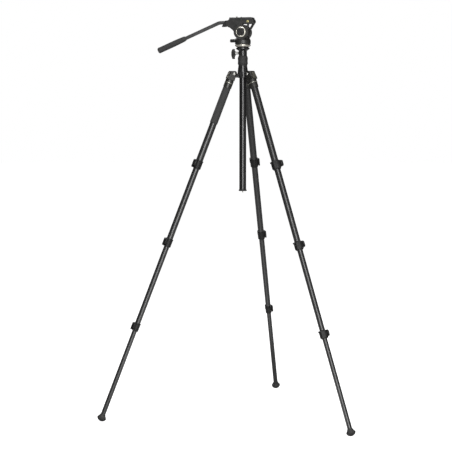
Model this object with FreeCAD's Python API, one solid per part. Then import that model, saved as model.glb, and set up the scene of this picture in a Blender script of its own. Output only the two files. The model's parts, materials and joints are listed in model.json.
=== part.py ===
import FreeCAD, Part

import math
import os

# Video tripod with a small fluid head, in millimetres.
# Origin: on the floor, under the centre column. +Z is up, +X is the direction the camera looks.
# Legs stand at 90 degrees (side), 210 degrees (back) and 330 degrees (front) around +Z.

V = FreeCAD.Vector

# ---------------------------------------------------------------- driving dimensions
LEG_AZIMUTH = {"side_leg": 90, "back_leg": 210, "front_leg": 330}
LEG_SPREAD = 21.465         # degrees from vertical
PIVOT_RADIUS = 40.0         # hinge pin from the column axis
PIVOT_HEIGHT = 1391.0
PIVOT_OFFSET = 3.8          # hinge pin inside the tube axis
TUBE_DIAMETERS = (28.0, 25.0, 22.0, 19.0)
TUBE_WALL = 1.2
TUBE_OVERLAP = 55.0         # length of each tube inside the one above, when drawn out
COLLAR_TOPS = (374.7, 712.0, 1075.2)      # distance below the hinge, along the leg
COLLAR_LENGTHS = (35.2, 34.3, 33.0)
COLLAR_WALL = 2.4
COLLAR_LIP = 6.0            # end ring that the upper tube stands on
COLLAR_BEAD = 1.2           # how far the collar's upper bead stands proud
EAR_THICKNESS = 3.7
EAR_CHAMFER = 2.2
LEVER_HUBS = (6.7, 5.3, 5.3)
LEVER_PIN_ANGLE = 46.0      # around the tube, from straight outward
LEVER_HUB_LOW = -5.5        # hub's ends, from the collar's middle
LEVER_HUB_HIGH = 12.0
LEVER_BAND = 4.0
LEVER_BAND_INSET = (0.6, 2.0)   # lower and upper edge of the band, inside the collar's ends
LEVER_WIDE_ANGLE = 14.0     # where the band has its full height
LEVER_END_ANGLE = -72.0
PIN_RADIUS = 1.6
PIN_OVERHANG = 0.4
BOSS_ANGLE = 225.0          # clamp screw's boss, around the tube
BOSS_RADIUS = 4.6
SCREW_HEAD_RADIUS = 3.2
SCREW_HEAD_RISE = 13.8      # above the collar's middle
SCREW_HEAD_REACH = 4.8      # from the collar's wall
RUNNING_FIT = 0.05          # radial, pin in bore
GAP = 0.3                   # between pieces that slide or swing past each other

CASTING_RADIUS = 15.6       # leg hinge casting
CASTING_FACE = 15.2         # its flat outer face, from the tube axis
SOCKET_RADIUS = 16.9        # round lower part of the casting
SOCKET_TOP = -28.5
SOCKET_BOTTOM = -62.0
SOCKET_EDGE = 1.2
CASTING_FLOOR = -13.0
CASTING_TUBE_TOP = -19.0
CASTING_SQUARE_BOTTOM = -27.0
CASTING_CHEEK_RADIUS = 13.0
CASTING_TOP_HEIGHT = 1403.0
CASTING_CORNERS = ((-24.0, 21.8), (-6.0, 18.9), (9.0, 17.6))   # height and radius of its corners
ANGLE_LOCK_HALF_WIDTH = 6.7
ANGLE_LOCK_TOP = 0.7
ANGLE_LOCK_BOTTOM = -8.7
TAB_FACE = 17.2
TAB_HALF_WIDTH = 10.5
TAB_BOTTOM = -27.0
TAB_TOP = -10.0
TAB_CORNER = 6.0
LUG_HALF_WIDTH = 9.0
LUG_RADIUS = 9.5            # eye round the hinge pin
BOLT_RADIUS = 3.0
BOLT_HEAD_RADIUS = 5.6
BOLT_HEAD_HEIGHT = 3.3

GRIP_SLEEVE_TOP = -64.0
GRIP_SLEEVE_BOTTOM = -214.6
GRIP_SLEEVE_RADIUS = 15.7

FOOT_RADIUS = 18.6
FOOT_SOLE_RADIUS = 20.5     # spherical sole
FOOT_FLAT_RADIUS = 5.0      # patch that stands on the floor
FOOT_LENGTH = 29.0
FOOT_SOCKET = 16.0          # bottom of the tube's socket, above the sole's tip
FOOT_WIDEST = 12.0          # height of the widest ring above the sole's tip

COLUMN_RADIUS = 14.0
COLUMN_BOTTOM = 926.0
COLUMN_TOP = 1471.5
CAP_BOTTOM = 918.0
CAP_RADIUS = 16.4
STAPLE_BOTTOM = 911.2
STAPLE_HALF_WIDTH = 5.9
STAPLE_WIRE = 2.4
SPIDER_BOTTOM = 1376.0
SPIDER_RADIUS = 21.0
SPIDER_NECK_TOP = 1456.0
LOCK_RING_BOTTOM = 1424.8
LOCK_RING_TOP = 1464.3
LOCK_RING_RADIUS = 20.1

BALL_CENTRE = 1507.0        # height of the levelling ball's centre
BALL_RADIUS = 26.0
CUP_RADIUS = 27.5
CUP_SHOULDER = 1491.5
CUP_RIM = 1495.5
NECK_RADIUS = 16.7
BAND_RADIUS = 32.0          # bright levelling band
BAND_TOP = 1511.4
LEVEL_KNOB_HEIGHT = 1475.6
WING_ROOT = -33.2
WING_TIP = -47.2
WING_RISE = 16.5            # above the stem's axis
WING_DROP = 24.0            # below it
WING_HALF_THICKNESS = 6.0

PAN_BOTTOM = 1511.8
PAN_SHOULDER = 1526.0
PAN_TOP = 1534.5
PAN_RADIUS = 32.0
PAN_BOSS_REACH = 31.0       # square boss round the pan lock's screw
PAN_BOSS_HALF_WIDTH = 8.0
PAN_KNOB_HEIGHT = 1525.0
PAN_KNOB_RADIUS = 6.9
PAN_KNOB_ROOT = -34.0
PAN_KNOB_TIP = -52.5
PIVOT_SPIGOT = 8.0          # radius of the pan pivot
TILT_HEIGHT = 1559.0        # tilt axis
TOWER_RADIUS = 27.0
TOWER_HALF_WIDTH = 17.5
DISC_RADIUS = 30.3
DISC_INNER = 18.0
DISC_OUTER = 31.5
SHAFT_RADIUS = 6.0
DRAG_CHAMBER = 18.5
ROTOR_RADIUS = 18.0
BEZEL_RADIUS = 20.3
BEZEL_DEPTH = 4.6
DIAL_RADIUS = 15.6
DIAL_RIB_PITCH = 3.6

DECK_BOTTOM = 1592.5
DECK_TOP = 1611.0
DECK_HALF_WIDTH = 25.5
CHANNEL_HALF_WIDTH = 19.4
CHANNEL_FLOOR = 1605.6
DECK_BACK = -52.0
DECK_FRONT = 47.6
PLATE_BACK = -51.5
PLATE_FRONT = 43.0
PLATE_TOP = 1617.0
CAMERA_SCREW_X = -24.9
CAMERA_SCREW_RADIUS = 3.175
CAMERA_SCREW_TOP = 1623.5
CAMERA_SCREW_SHANK = 2.7
CAMERA_SCREW_HEAD = 7.8
REGISTER_PIN_X = -6.9
REGISTER_PIN_RADIUS = 2.25
REGISTER_PIN_HEIGHT = 3.4
REGISTER_PIN_SHANK = 2.0
PLATE_LOCK_X = 10.0
PLATE_LOCK_HEIGHT = 1601.0
ACCESSORY_X = 26.0
ACCESSORY_HEIGHT = 1601.0
ACCESSORY_BORE = 2.65

ROSETTE_X = -68.0
ROSETTE_HEIGHT = 1598.0
ROSETTE_RADIUS = 8.5
ROSETTE_FACE = 1.5          # where the two halves of the rosette meet, along Y
LUG_OUTER = 9.6             # far face of the platform's half of the rosette
HANDLE_Y = -5.7
HANDLE_RADIUS = 7.2
HANDLE_BEND_X = -96.0
HANDLE_SLOPE = 23.0         # degrees below level
HANDLE_BEND_RADIUS = 45.0
GRIP_START = 156.0          # along the sloping part, from the bend's corner
GRIP_END = 283.0
GRIP_RADIUS = 12.0
FIN_NEAR = -18.0            # clamp fin's faces, along Y
FIN_FAR = -13.4
FIN_HUB_RADIUS = 7.0
FIN_HUB_NEAR = -18.6


# ---------------------------------------------------------------- shape helpers
def cylinder(radius, start, end):
    """A round bar between two points."""
    start, end = V(*start), V(*end)
    return Part.makeCylinder(radius, (end - start).Length, start, end - start)


def block(low, high):
    """A box between two corners."""
    size = V(*high) - V(*low)
    return Part.makeBox(size.x, size.y, size.z, V(*low))


def turned(profile):
    """A profile of (radius, height) points, turned about the Z axis."""
    points = [V(r, 0, z) for r, z in profile]
    face = Part.Face(Part.makePolygon(points + points[:1]))
    return face.revolve(V(0, 0, 0), V(0, 0, 1), 360)


def ring(inner, outer, bottom, top):
    """A plain round sleeve about the Z axis."""
    return turned([(inner, bottom), (outer, bottom), (outer, top), (inner, top)])


def plate_xz(outline, low, high):
    """An outline of (x, z) points, extruded along Y from low to high."""
    points = [V(x, low, z) for x, z in outline]
    face = Part.Face(Part.makePolygon(points + points[:1]))
    return face.extrude(V(0, high - low, 0))


def across(radius, x, z, low, high):
    """A round bar along Y."""
    return cylinder(radius, (x, low, z), (x, high, z))


def sector(inner, outer, start, end, bottom, top):
    """Part of a ring about the Z axis, between two angles in degrees."""
    face = Part.Face(Part.makePolygon([V(inner, 0, bottom), V(outer, 0, bottom), V(outer, 0, top),
                                       V(inner, 0, top), V(inner, 0, bottom)]))
    face.rotate(V(0, 0, 0), V(0, 0, 1), start)
    return face.revolve(V(0, 0, 0), V(0, 0, 1), end - start)


def polar(radius, angle, z=0.0):
    """The point at a radius and an angle in degrees about the Z axis."""
    return (radius * math.cos(math.radians(angle)), radius * math.sin(math.radians(angle)), z)


def joined(first, *others):
    """One solid out of several that meet."""
    return first.fuse(list(others)).removeSplitter()


def turned_about_z(shape, angle):
    """A copy of a shape, turned about the column axis."""
    copy = shape.copy()
    copy.rotate(V(0, 0, 0), V(0, 0, 1), angle)
    return copy


def leg_placement(azimuth):
    """Places leg pieces, which are drawn with the tube along Z, +X outward and the hinge at height 0."""
    spread = math.radians(LEG_SPREAD)
    foot_of_pin = V(PIVOT_RADIUS + PIVOT_OFFSET * math.cos(spread), 0,
                    PIVOT_HEIGHT + PIVOT_OFFSET * math.sin(spread))
    lean = FreeCAD.Placement(foot_of_pin, FreeCAD.Rotation(V(0, 1, 0), -LEG_SPREAD))
    turn = FreeCAD.Placement(V(0, 0, 0), FreeCAD.Rotation(V(0, 0, 1), azimuth))
    return turn.multiply(lean)


# ---------------------------------------------------------------- legs
def hinge_casting():
    """Fork that swings on the spider's lug, over a socket for the top tube."""
    side = CASTING_RADIUS
    body = joined(
        turned([(0, SOCKET_BOTTOM), (SOCKET_RADIUS - SOCKET_EDGE, SOCKET_BOTTOM),
                (SOCKET_RADIUS, SOCKET_BOTTOM + SOCKET_EDGE), (SOCKET_RADIUS, SOCKET_TOP - SOCKET_EDGE),
                (SOCKET_RADIUS - SOCKET_EDGE, SOCKET_TOP), (0, SOCKET_TOP)]),
        cylinder(side, (0, 0, SOCKET_TOP - 1.0), (0, 0, CASTING_FLOOR)),
        block((-CASTING_FACE, -side, CASTING_SQUARE_BOTTOM), (CASTING_FACE, side, 0)),
        across(CASTING_CHEEK_RADIUS, -PIVOT_OFFSET, 0, -side, side),
        block((-PIVOT_OFFSET, -side, -1), (CASTING_FACE, side, 16)),
    )
    (low, wide), (middle, medium), (high, narrow) = CASTING_CORNERS
    corners = turned([(0, SOCKET_BOTTOM), (wide, SOCKET_BOTTOM), (wide, low), (medium, middle),
                      (narrow, high), (narrow, 2 * high), (0, 2 * high)])
    body = body.common(corners)
    slot = LUG_HALF_WIDTH + GAP
    body = body.cut(block((-40, -slot, CASTING_FLOOR), (7.0, slot, 40)))
    body = body.cut(cylinder(TUBE_DIAMETERS[0] / 2, (0, 0, SOCKET_BOTTOM - 1), (0, 0, CASTING_TUBE_TOP)))
    body = body.cut(across(BOLT_RADIUS + RUNNING_FIT, -PIVOT_OFFSET, 0, -30, 30))
    window = ANGLE_LOCK_HALF_WIDTH + GAP
    body = body.cut(block((5.0, -window, ANGLE_LOCK_BOTTOM - GAP), (25.0, window, ANGLE_LOCK_TOP + GAP)))
    level_top = block((-80, -80, 0), (80, 80, 60))
    level_top.rotate(V(0, 0, 0), V(0, 1, 0), LEG_SPREAD)
    lift = (CASTING_TOP_HEIGHT - PIVOT_HEIGHT) / math.cos(math.radians(LEG_SPREAD))
    level_top.translate(V(-PIVOT_OFFSET, 0, lift))
    return body.cut(level_top).removeSplitter()


def angle_lock():
    """Pull tab on the outer face, whose tongue stops the leg from opening wider."""
    half = ANGLE_LOCK_HALF_WIDTH
    inner_face = CASTING_RADIUS + 0.1
    tongue = block((6.4, -half, ANGLE_LOCK_BOTTOM), (TAB_FACE, half, ANGLE_LOCK_TOP))
    neck = block((inner_face, -half, TAB_TOP - TAB_CORNER), (TAB_FACE, half, ANGLE_LOCK_TOP))
    tab = block((inner_face, -TAB_HALF_WIDTH, TAB_BOTTOM), (TAB_FACE, TAB_HALF_WIDTH, TAB_TOP))
    corners = [e for e in tab.Edges if abs(e.Vertexes[0].X - e.Vertexes[-1].X) > 1.0]
    tab = tab.makeFillet(TAB_CORNER, corners)
    lip_height = TAB_BOTTOM + TAB_CORNER
    lip = across(0.9, TAB_FACE, lip_height, -TAB_HALF_WIDTH + 2.0, TAB_HALF_WIDTH - 2.0)
    return joined(tongue, neck, tab, lip)


def tube(index):
    """One telescoping tube of the leg."""
    outer = TUBE_DIAMETERS[index] / 2
    if index == 0:
        top = CASTING_TUBE_TOP
    else:
        top = -COLLAR_TOPS[index - 1] - COLLAR_LENGTHS[index - 1] + TUBE_OVERLAP
    if index < 3:
        bottom = -COLLAR_TOPS[index] - COLLAR_LENGTHS[index] + COLLAR_LIP
    else:
        bottom = foot_top() - FOOT_LENGTH + FOOT_SOCKET
    return ring(outer - TUBE_WALL, outer, bottom, top)


def lever_pin_radius(index):
    """Distance of the lever's pin from the tube axis."""
    return TUBE_DIAMETERS[index] / 2 + COLLAR_WALL + 0.4 + LEVER_HUBS[index]


def collar(index):
    """Clamp collar on the lower end of a tube, with two ears and a pin for the flip lever."""
    inner = TUBE_DIAMETERS[index] / 2
    outer = inner + COLLAR_WALL
    bead = outer + COLLAR_BEAD
    next_inner = TUBE_DIAMETERS[index + 1] / 2 + GAP
    top = -COLLAR_TOPS[index]
    bottom = top - COLLAR_LENGTHS[index]
    middle = (top + bottom) / 2
    hub = LEVER_HUBS[index]
    pin_radius = lever_pin_radius(index)
    hub_low, hub_high = middle + LEVER_HUB_LOW, middle + LEVER_HUB_HIGH
    shell = turned([(inner, top), (outer, top), (bead, top - 1.2), (bead, top - 3.6),
                    (outer, top - 4.6), (outer, bottom + 2.0), (outer - 1.0, bottom),
                    (next_inner, bottom), (next_inner, bottom + COLLAR_LIP), (inner, bottom + COLLAR_LIP)])
    pieces = [shell]
    for near, far in ((hub_high + GAP, EAR_THICKNESS), (hub_low - GAP, -EAR_THICKNESS)):
        end = near + far
        eye = cylinder(hub - 1.0, polar(pin_radius, LEVER_PIN_ANGLE, near),
                       polar(pin_radius, LEVER_PIN_ANGLE, end))
        rim = [e for e in eye.Edges if e.BoundBox.ZLength < 0.01 and abs(e.BoundBox.ZMin - end) < 0.01]
        low, high = sorted((near, end))
        web = block((inner + 1.0, -hub + 2.0, low), (pin_radius - 1.5, hub - 2.0, high))
        web.rotate(V(0, 0, 0), V(0, 0, 1), LEVER_PIN_ANGLE)
        pieces += [eye.makeChamfer(EAR_CHAMFER, rim), web]
    boss_radius = outer - 2.0
    pieces.append(cylinder(BOSS_RADIUS, polar(boss_radius, BOSS_ANGLE, bottom + 4.0),
                           polar(boss_radius, BOSS_ANGLE, top - 6.0)))
    screw_height = middle + SCREW_HEAD_RISE
    pieces.append(cylinder(SCREW_HEAD_RADIUS, polar(outer - 1.0, BOSS_ANGLE, screw_height),
                           polar(outer + SCREW_HEAD_REACH, BOSS_ANGLE, screw_height)))
    body = joined(*pieces)
    overhang = GAP + EAR_THICKNESS + PIN_OVERHANG
    pin = cylinder(PIN_RADIUS, polar(pin_radius, LEVER_PIN_ANGLE, hub_low - overhang),
                   polar(pin_radius, LEVER_PIN_ANGLE, hub_high + overhang))
    hollow = cylinder(inner, (0, 0, bottom + COLLAR_LIP), (0, 0, top + 5))
    passage = cylinder(next_inner, (0, 0, bottom - 5), (0, 0, top + 5))
    body = body.cut([hollow, passage, pin]).removeSplitter()
    return Part.makeCompound([body, pin])


def lever(index):
    """Flip lever: a hub on the pin and a band that wraps round the front of the collar."""
    inner_band = TUBE_DIAMETERS[index] / 2 + COLLAR_WALL + COLLAR_BEAD + 0.4
    outer_band = inner_band + LEVER_BAND
    hub = LEVER_HUBS[index]
    middle = -COLLAR_TOPS[index] - COLLAR_LENGTHS[index] / 2
    hub_low, hub_high = middle + LEVER_HUB_LOW, middle + LEVER_HUB_HIGH
    low = middle - COLLAR_LENGTHS[index] / 2 + LEVER_BAND_INSET[0]
    high = middle + COLLAR_LENGTHS[index] / 2 - LEVER_BAND_INSET[1]
    pin_radius = lever_pin_radius(index)
    body = joined(
        cylinder(hub, polar(pin_radius, LEVER_PIN_ANGLE, hub_low),
                 polar(pin_radius, LEVER_PIN_ANGLE, hub_high)),
        sector(inner_band, outer_band, LEVER_END_ANGLE, LEVER_PIN_ANGLE - 6.0, hub_low, hub_high),
        sector(inner_band, outer_band, LEVER_END_ANGLE, LEVER_WIDE_ANGLE, low, high),
        sector(inner_band + 1.0, outer_band + 3.4, LEVER_END_ANGLE - 6.0, LEVER_END_ANGLE + 10.0, low, high),
    )
    bore = cylinder(PIN_RADIUS + RUNNING_FIT, polar(pin_radius, LEVER_PIN_ANGLE, low),
                    polar(pin_radius, LEVER_PIN_ANGLE, high))
    return body.cut(bore).removeSplitter()


def sole_centre():
    """Place of the sole's sphere centre along the leg, below the hinge."""
    height = math.sqrt(FOOT_SOLE_RADIUS ** 2 - FOOT_FLAT_RADIUS ** 2)
    spread = math.radians(LEG_SPREAD)
    hinge_height = PIVOT_HEIGHT + PIVOT_OFFSET * math.sin(spread)
    return -(hinge_height - height) / math.cos(spread)


def foot_top():
    """Upper end of the rubber foot along the leg."""
    return sole_centre() - FOOT_SOLE_RADIUS + FOOT_LENGTH


def foot():
    """Rubber foot: a flare down to a round sole, with a small flat where it stands."""
    centre = sole_centre()
    tip = centre - FOOT_SOLE_RADIUS
    widest = tip + FOOT_WIDEST
    tube_radius = TUBE_DIAMETERS[3] / 2
    flare = turned([(0, widest - 3), (FOOT_RADIUS, widest), (FOOT_RADIUS, widest + 4.0),
                    (FOOT_RADIUS - 1.0, widest + 5.2), (tube_radius + 1.8, foot_top() - 2.5),
                    (tube_radius + 0.9, foot_top()), (0, foot_top())])
    sole = Part.makeSphere(FOOT_SOLE_RADIUS, V(0, 0, centre))
    sole = sole.common(cylinder(FOOT_RADIUS, (0, 0, tip - 2), (0, 0, widest + 1.0)))
    body = joined(flare, sole)
    socket = foot_top() - FOOT_LENGTH + FOOT_SOCKET
    body = body.cut(cylinder(tube_radius, (0, 0, socket), (0, 0, foot_top() + 5)))
    floor = block((-60, -60, -60), (60, 60, 0))
    floor.rotate(V(0, 0, 0), V(0, 1, 0), LEG_SPREAD)
    spread = math.radians(LEG_SPREAD)
    standing = math.sqrt(FOOT_SOLE_RADIUS ** 2 - FOOT_FLAT_RADIUS ** 2)
    floor.translate(V(-standing * math.sin(spread), 0, centre - standing * math.cos(spread)))
    return body.cut(floor).removeSplitter()


def grip_sleeve():
    """Foam sleeve over the back leg's top tube."""
    inner = TUBE_DIAMETERS[0] / 2
    outer = GRIP_SLEEVE_RADIUS
    return turned([(inner, GRIP_SLEEVE_BOTTOM), (outer - 0.8, GRIP_SLEEVE_BOTTOM),
                   (outer, GRIP_SLEEVE_BOTTOM + 1.5), (outer, GRIP_SLEEVE_TOP - 1.5),
                   (outer - 0.8, GRIP_SLEEVE_TOP), (inner, GRIP_SLEEVE_TOP)])


def leg_nodes():
    """Every piece of the three legs, by node name, in place."""
    drawn = {"hinge_casting": hinge_casting(), "angle_lock": angle_lock(), "foot": foot()}
    for index in range(4):
        drawn[f"tube_{index + 1}"] = tube(index)
    for index in range(3):
        drawn[f"collar_{index + 1}"] = collar(index)
        drawn[f"lever_{index + 1}"] = lever(index)
    placed = {}
    for leg, azimuth in LEG_AZIMUTH.items():
        for name, shape in drawn.items():
            placed[f"{leg}_{name}"] = in_place(shape, leg_placement(azimuth))
    placed["back_leg_grip_sleeve"] = in_place(grip_sleeve(), leg_placement(LEG_AZIMUTH["back_leg"]))
    return placed


def in_place(shape, placement):
    """A copy of a shape, moved by a placement."""
    copy = shape.copy()
    copy.Placement = placement.multiply(copy.Placement)
    return copy


# ---------------------------------------------------------------- spider and column
def spider_casting():
    """Crown that the legs hinge on, with the column bush inside its neck."""
    bush_radius = COLUMN_RADIUS + 2.0
    neck_radius = bush_radius + 1.0
    neck_bottom = LOCK_RING_BOTTOM - 0.5
    body = turned([(bush_radius, SPIDER_BOTTOM), (SPIDER_RADIUS - 1.5, SPIDER_BOTTOM),
                   (SPIDER_RADIUS, SPIDER_BOTTOM + 2.5), (SPIDER_RADIUS, 1401.0), (20.0, 1408.0),
                   (17.7, neck_bottom), (neck_radius, neck_bottom),
                   (neck_radius, SPIDER_NECK_TOP), (bush_radius, SPIDER_NECK_TOP)])
    eye_bottom = PIVOT_HEIGHT - LUG_RADIUS
    web_bottom, web_top = SPIDER_BOTTOM + 0.5, PIVOT_HEIGHT + 2.0
    for azimuth in LEG_AZIMUTH.values():
        web = plate_xz([(18.0, web_bottom), (26.5, web_bottom), (29.5, eye_bottom),
                        (PIVOT_RADIUS, eye_bottom), (PIVOT_RADIUS, web_top), (18.0, web_top)],
                       -LUG_HALF_WIDTH, LUG_HALF_WIDTH)
        lug = web.fuse(across(LUG_RADIUS, PIVOT_RADIUS, PIVOT_HEIGHT, -LUG_HALF_WIDTH, LUG_HALF_WIDTH))
        lug = lug.cut(across(BOLT_RADIUS, PIVOT_RADIUS, PIVOT_HEIGHT, -30, 30))
        body = body.fuse(turned_about_z(lug, azimuth))
    for azimuth in LEG_AZIMUTH.values():
        rib = block((15, -6, 1380), (24, 6, 1399))
        body = body.fuse(turned_about_z(rib, azimuth + 60))
    body = body.cut(cylinder(bush_radius, (0, 0, 1300), (0, 0, 1500))).removeSplitter()
    bush = ring(COLUMN_RADIUS + RUNNING_FIT, bush_radius, SPIDER_BOTTOM + 3.0, SPIDER_NECK_TOP + 2.5)
    return Part.makeCompound([body, bush])


def leg_pivot_bolts():
    """The three hinge bolts, each with a head at both ends."""
    bolts = []
    for azimuth in LEG_AZIMUTH.values():
        reach = CASTING_RADIUS + GAP
        bolt = joined(
            across(BOLT_RADIUS, PIVOT_RADIUS, PIVOT_HEIGHT, -reach - 1, reach + 1),
            across(BOLT_HEAD_RADIUS, PIVOT_RADIUS, PIVOT_HEIGHT, reach, reach + BOLT_HEAD_HEIGHT),
            across(BOLT_HEAD_RADIUS, PIVOT_RADIUS, PIVOT_HEIGHT, -reach - BOLT_HEAD_HEIGHT, -reach),
        )
        bolts.append(turned_about_z(bolt, azimuth))
    return Part.makeCompound(bolts)


def column_lock_ring():
    """Twist ring that squeezes the column bush."""
    outer = LOCK_RING_RADIUS
    waist = (LOCK_RING_BOTTOM + LOCK_RING_TOP) / 2
    return turned([(17.3, LOCK_RING_BOTTOM), (outer - 2.0, LOCK_RING_BOTTOM),
                   (outer - 1.2, LOCK_RING_BOTTOM + 5.0), (outer + 0.3, LOCK_RING_BOTTOM + 8.0),
                   (outer - 0.5, waist), (outer + 0.3, LOCK_RING_TOP - 10.0),
                   (outer - 1.0, LOCK_RING_TOP - 4.0), (outer - 3.4, LOCK_RING_TOP),
                   (COLUMN_RADIUS + 0.5, LOCK_RING_TOP), (COLUMN_RADIUS + 0.5, SPIDER_NECK_TOP + 3.0),
                   (17.3, SPIDER_NECK_TOP + 3.0)])


def column_tube():
    """Centre column."""
    return ring(COLUMN_RADIUS - TUBE_WALL, COLUMN_RADIUS, COLUMN_BOTTOM, COLUMN_TOP)


def column_hook():
    """Flared end cap with a steel staple for a weight."""
    inner = COLUMN_RADIUS - TUBE_WALL
    plug_top = COLUMN_BOTTOM + 8.0
    cap = turned([(0, CAP_BOTTOM), (CAP_RADIUS - 0.8, CAP_BOTTOM), (CAP_RADIUS, CAP_BOTTOM + 1.0),
                  (CAP_RADIUS, CAP_BOTTOM + 3.0), (COLUMN_RADIUS, COLUMN_BOTTOM), (inner, COLUMN_BOTTOM),
                  (inner, plug_top), (0, plug_top)])
    half, wire = STAPLE_HALF_WIDTH, STAPLE_WIRE
    staple = block((-wire / 2, -half, STAPLE_BOTTOM), (wire / 2, half, CAP_BOTTOM + 4.0))
    bottom_corners = [e for e in staple.Edges if e.BoundBox.ZMax < STAPLE_BOTTOM + 0.1
                      and e.BoundBox.XLength > 1.0]
    staple = staple.makeFillet(3.0, bottom_corners)
    staple = staple.cut(block((-wire, -half + wire, STAPLE_BOTTOM + wire), (wire, half - wire, CAP_BOTTOM)))
    return Part.makeCompound([cap.cut(staple), staple])


# ---------------------------------------------------------------- levelling base
def leveling_cup():
    """Cup on top of the column that holds the levelling ball."""
    cavity = BALL_RADIUS + 0.4
    bore = 12.5
    seat = COLUMN_TOP + 0.5
    skirt = LOCK_RING_TOP + 0.5
    cup = turned([(bore, seat), (COLUMN_RADIUS, seat), (COLUMN_RADIUS, skirt), (NECK_RADIUS, skirt),
                  (NECK_RADIUS, 1484.3), (CUP_RADIUS, CUP_SHOULDER), (CUP_RADIUS, CUP_RIM),
                  (CUP_RADIUS - 1.2, CUP_RIM), (CUP_RADIUS - 3.3, CUP_RIM - 1.8), (0, CUP_RIM - 1.8),
                  (0, 1480.0), (bore, 1480.0)])
    cup = cup.cut(Part.makeSphere(cavity, V(0, 0, BALL_CENTRE)))
    cup = cup.cut(cylinder(bore, (0, 0, seat - 1), (0, 0, 1490)))
    return cup.cut(cylinder(BOLT_RADIUS, (-12, 0, LEVEL_KNOB_HEIGHT), (-20, 0, LEVEL_KNOB_HEIGHT)))


def leveling_half_ball():
    """Ball with the bright band above it, a stud below and a bore for the pan pivot."""
    truncated = Part.makeSphere(BALL_RADIUS, V(0, 0, BALL_CENTRE))
    truncated = truncated.common(cylinder(40, (0, 0, 1487.5), (0, 0, 1500)))
    band = turned([(0, 1498.0), (24.0, 1498.0), (BAND_RADIUS, 1504.8), (BAND_RADIUS, 1506.0),
                   (29.9, BAND_TOP - 1.2), (29.0, BAND_TOP), (0, BAND_TOP)])
    stud = cylinder(3.0, (0, 0, 1479.0), (0, 0, 1489.0))
    body = joined(truncated, band, stud)
    return body.cut(cylinder(PIVOT_SPIGOT + RUNNING_FIT, (0, 0, 1501.5), (0, 0, 1520)))


def leveling_clamp_pad():
    """Loose ring under the ball, between it and the clamp screw."""
    return ring(6.6, 9.2, 1482.0, 1485.6)


def leveling_knob():
    """Wing knob that clamps the levelling ball."""
    z = LEVEL_KNOB_HEIGHT
    screw = cylinder(BOLT_RADIUS - RUNNING_FIT, (-13, 0, z), (-18, 0, z))
    stem = cylinder(6.0, (-NECK_RADIUS - 0.4, 0, z), (-33, 0, z))
    shoulder, inner = WING_TIP + 4.3, WING_ROOT + 2.5
    top, bottom = z + WING_RISE, z - WING_DROP
    wing = plate_xz([(WING_ROOT, top), (shoulder, top), (WING_TIP, z + 4.0), (WING_TIP, z - 10.0),
                     (shoulder, bottom), (WING_ROOT, bottom), (inner, z - 9.0), (inner, z + 6.0)],
                    -WING_HALF_THICKNESS, WING_HALF_THICKNESS)
    wing = wing.makeFillet(2.2, wing.Edges)
    hub = cylinder(8.2, (inner + 1.0, 0, z), (WING_TIP + 0.8, 0, z))
    return joined(screw, stem, wing, hub)


# ---------------------------------------------------------------- pan and tilt
def pan_housing():
    """Panning base with the tower that carries the tilt shaft."""
    base = turned([(0, PAN_BOTTOM), (PAN_RADIUS - 0.8, PAN_BOTTOM), (PAN_RADIUS, PAN_BOTTOM + 0.8),
                   (PAN_RADIUS, PAN_SHOULDER), (27.6, PAN_TOP), (0, PAN_TOP)])
    base = base.fuse(block((-PAN_BOSS_REACH, -PAN_BOSS_HALF_WIDTH, PAN_SHOULDER - 12.0),
                           (-20.0, PAN_BOSS_HALF_WIDTH, PAN_TOP - 1.0)))
    pivot = cylinder(PIVOT_SPIGOT, (0, 0, 1502.0), (0, 0, PAN_BOTTOM + 1))
    base = base.cut(cylinder(BOLT_RADIUS, (-25, 0, PAN_KNOB_HEIGHT), (-40, 0, PAN_KNOB_HEIGHT)))
    for low, high in ((-40, -TOWER_HALF_WIDTH), (TOWER_HALF_WIDTH, 40)):
        base = base.cut(across(DISC_RADIUS + 0.6, 0, TILT_HEIGHT, low, high))
    tower = joined(
        across(TOWER_RADIUS, 0, TILT_HEIGHT, -TOWER_HALF_WIDTH, TOWER_HALF_WIDTH),
        block((-22.5, -TOWER_HALF_WIDTH, PAN_TOP - 4), (22.5, TOWER_HALF_WIDTH, TILT_HEIGHT)),
    )
    body = joined(base, pivot, tower)
    body = body.cut(across(SHAFT_RADIUS + RUNNING_FIT, 0, TILT_HEIGHT, -20, 20))
    return body.cut(across(DRAG_CHAMBER, 0, TILT_HEIGHT, -11.0, 11.0)).removeSplitter()


def pan_lock_knob():
    """Small round screw knob at the back of the panning base."""
    z = PAN_KNOB_HEIGHT
    screw = cylinder(BOLT_RADIUS - RUNNING_FIT, (-26, 0, z), (-35, 0, z))
    collar_part = cylinder(4.2, (-32.6, 0, z), (-36, 0, z))
    head = cylinder(PAN_KNOB_RADIUS, (PAN_KNOB_ROOT, 0, z), (PAN_KNOB_TIP, 0, z))
    head = head.makeChamfer(1.2, head.Edges)
    return joined(screw, collar_part, head)


def tilt_shaft():
    """Tilt shaft with the rotor of the fluid drag cartridge on it."""
    shaft = across(SHAFT_RADIUS, 0, TILT_HEIGHT, -25.0, 25.0)
    rotors = [across(ROTOR_RADIUS, 0, TILT_HEIGHT, y - 1.5, y + 1.5) for y in (-8.0, 0.0, 8.0)]
    return joined(shaft, *rotors)


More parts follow.
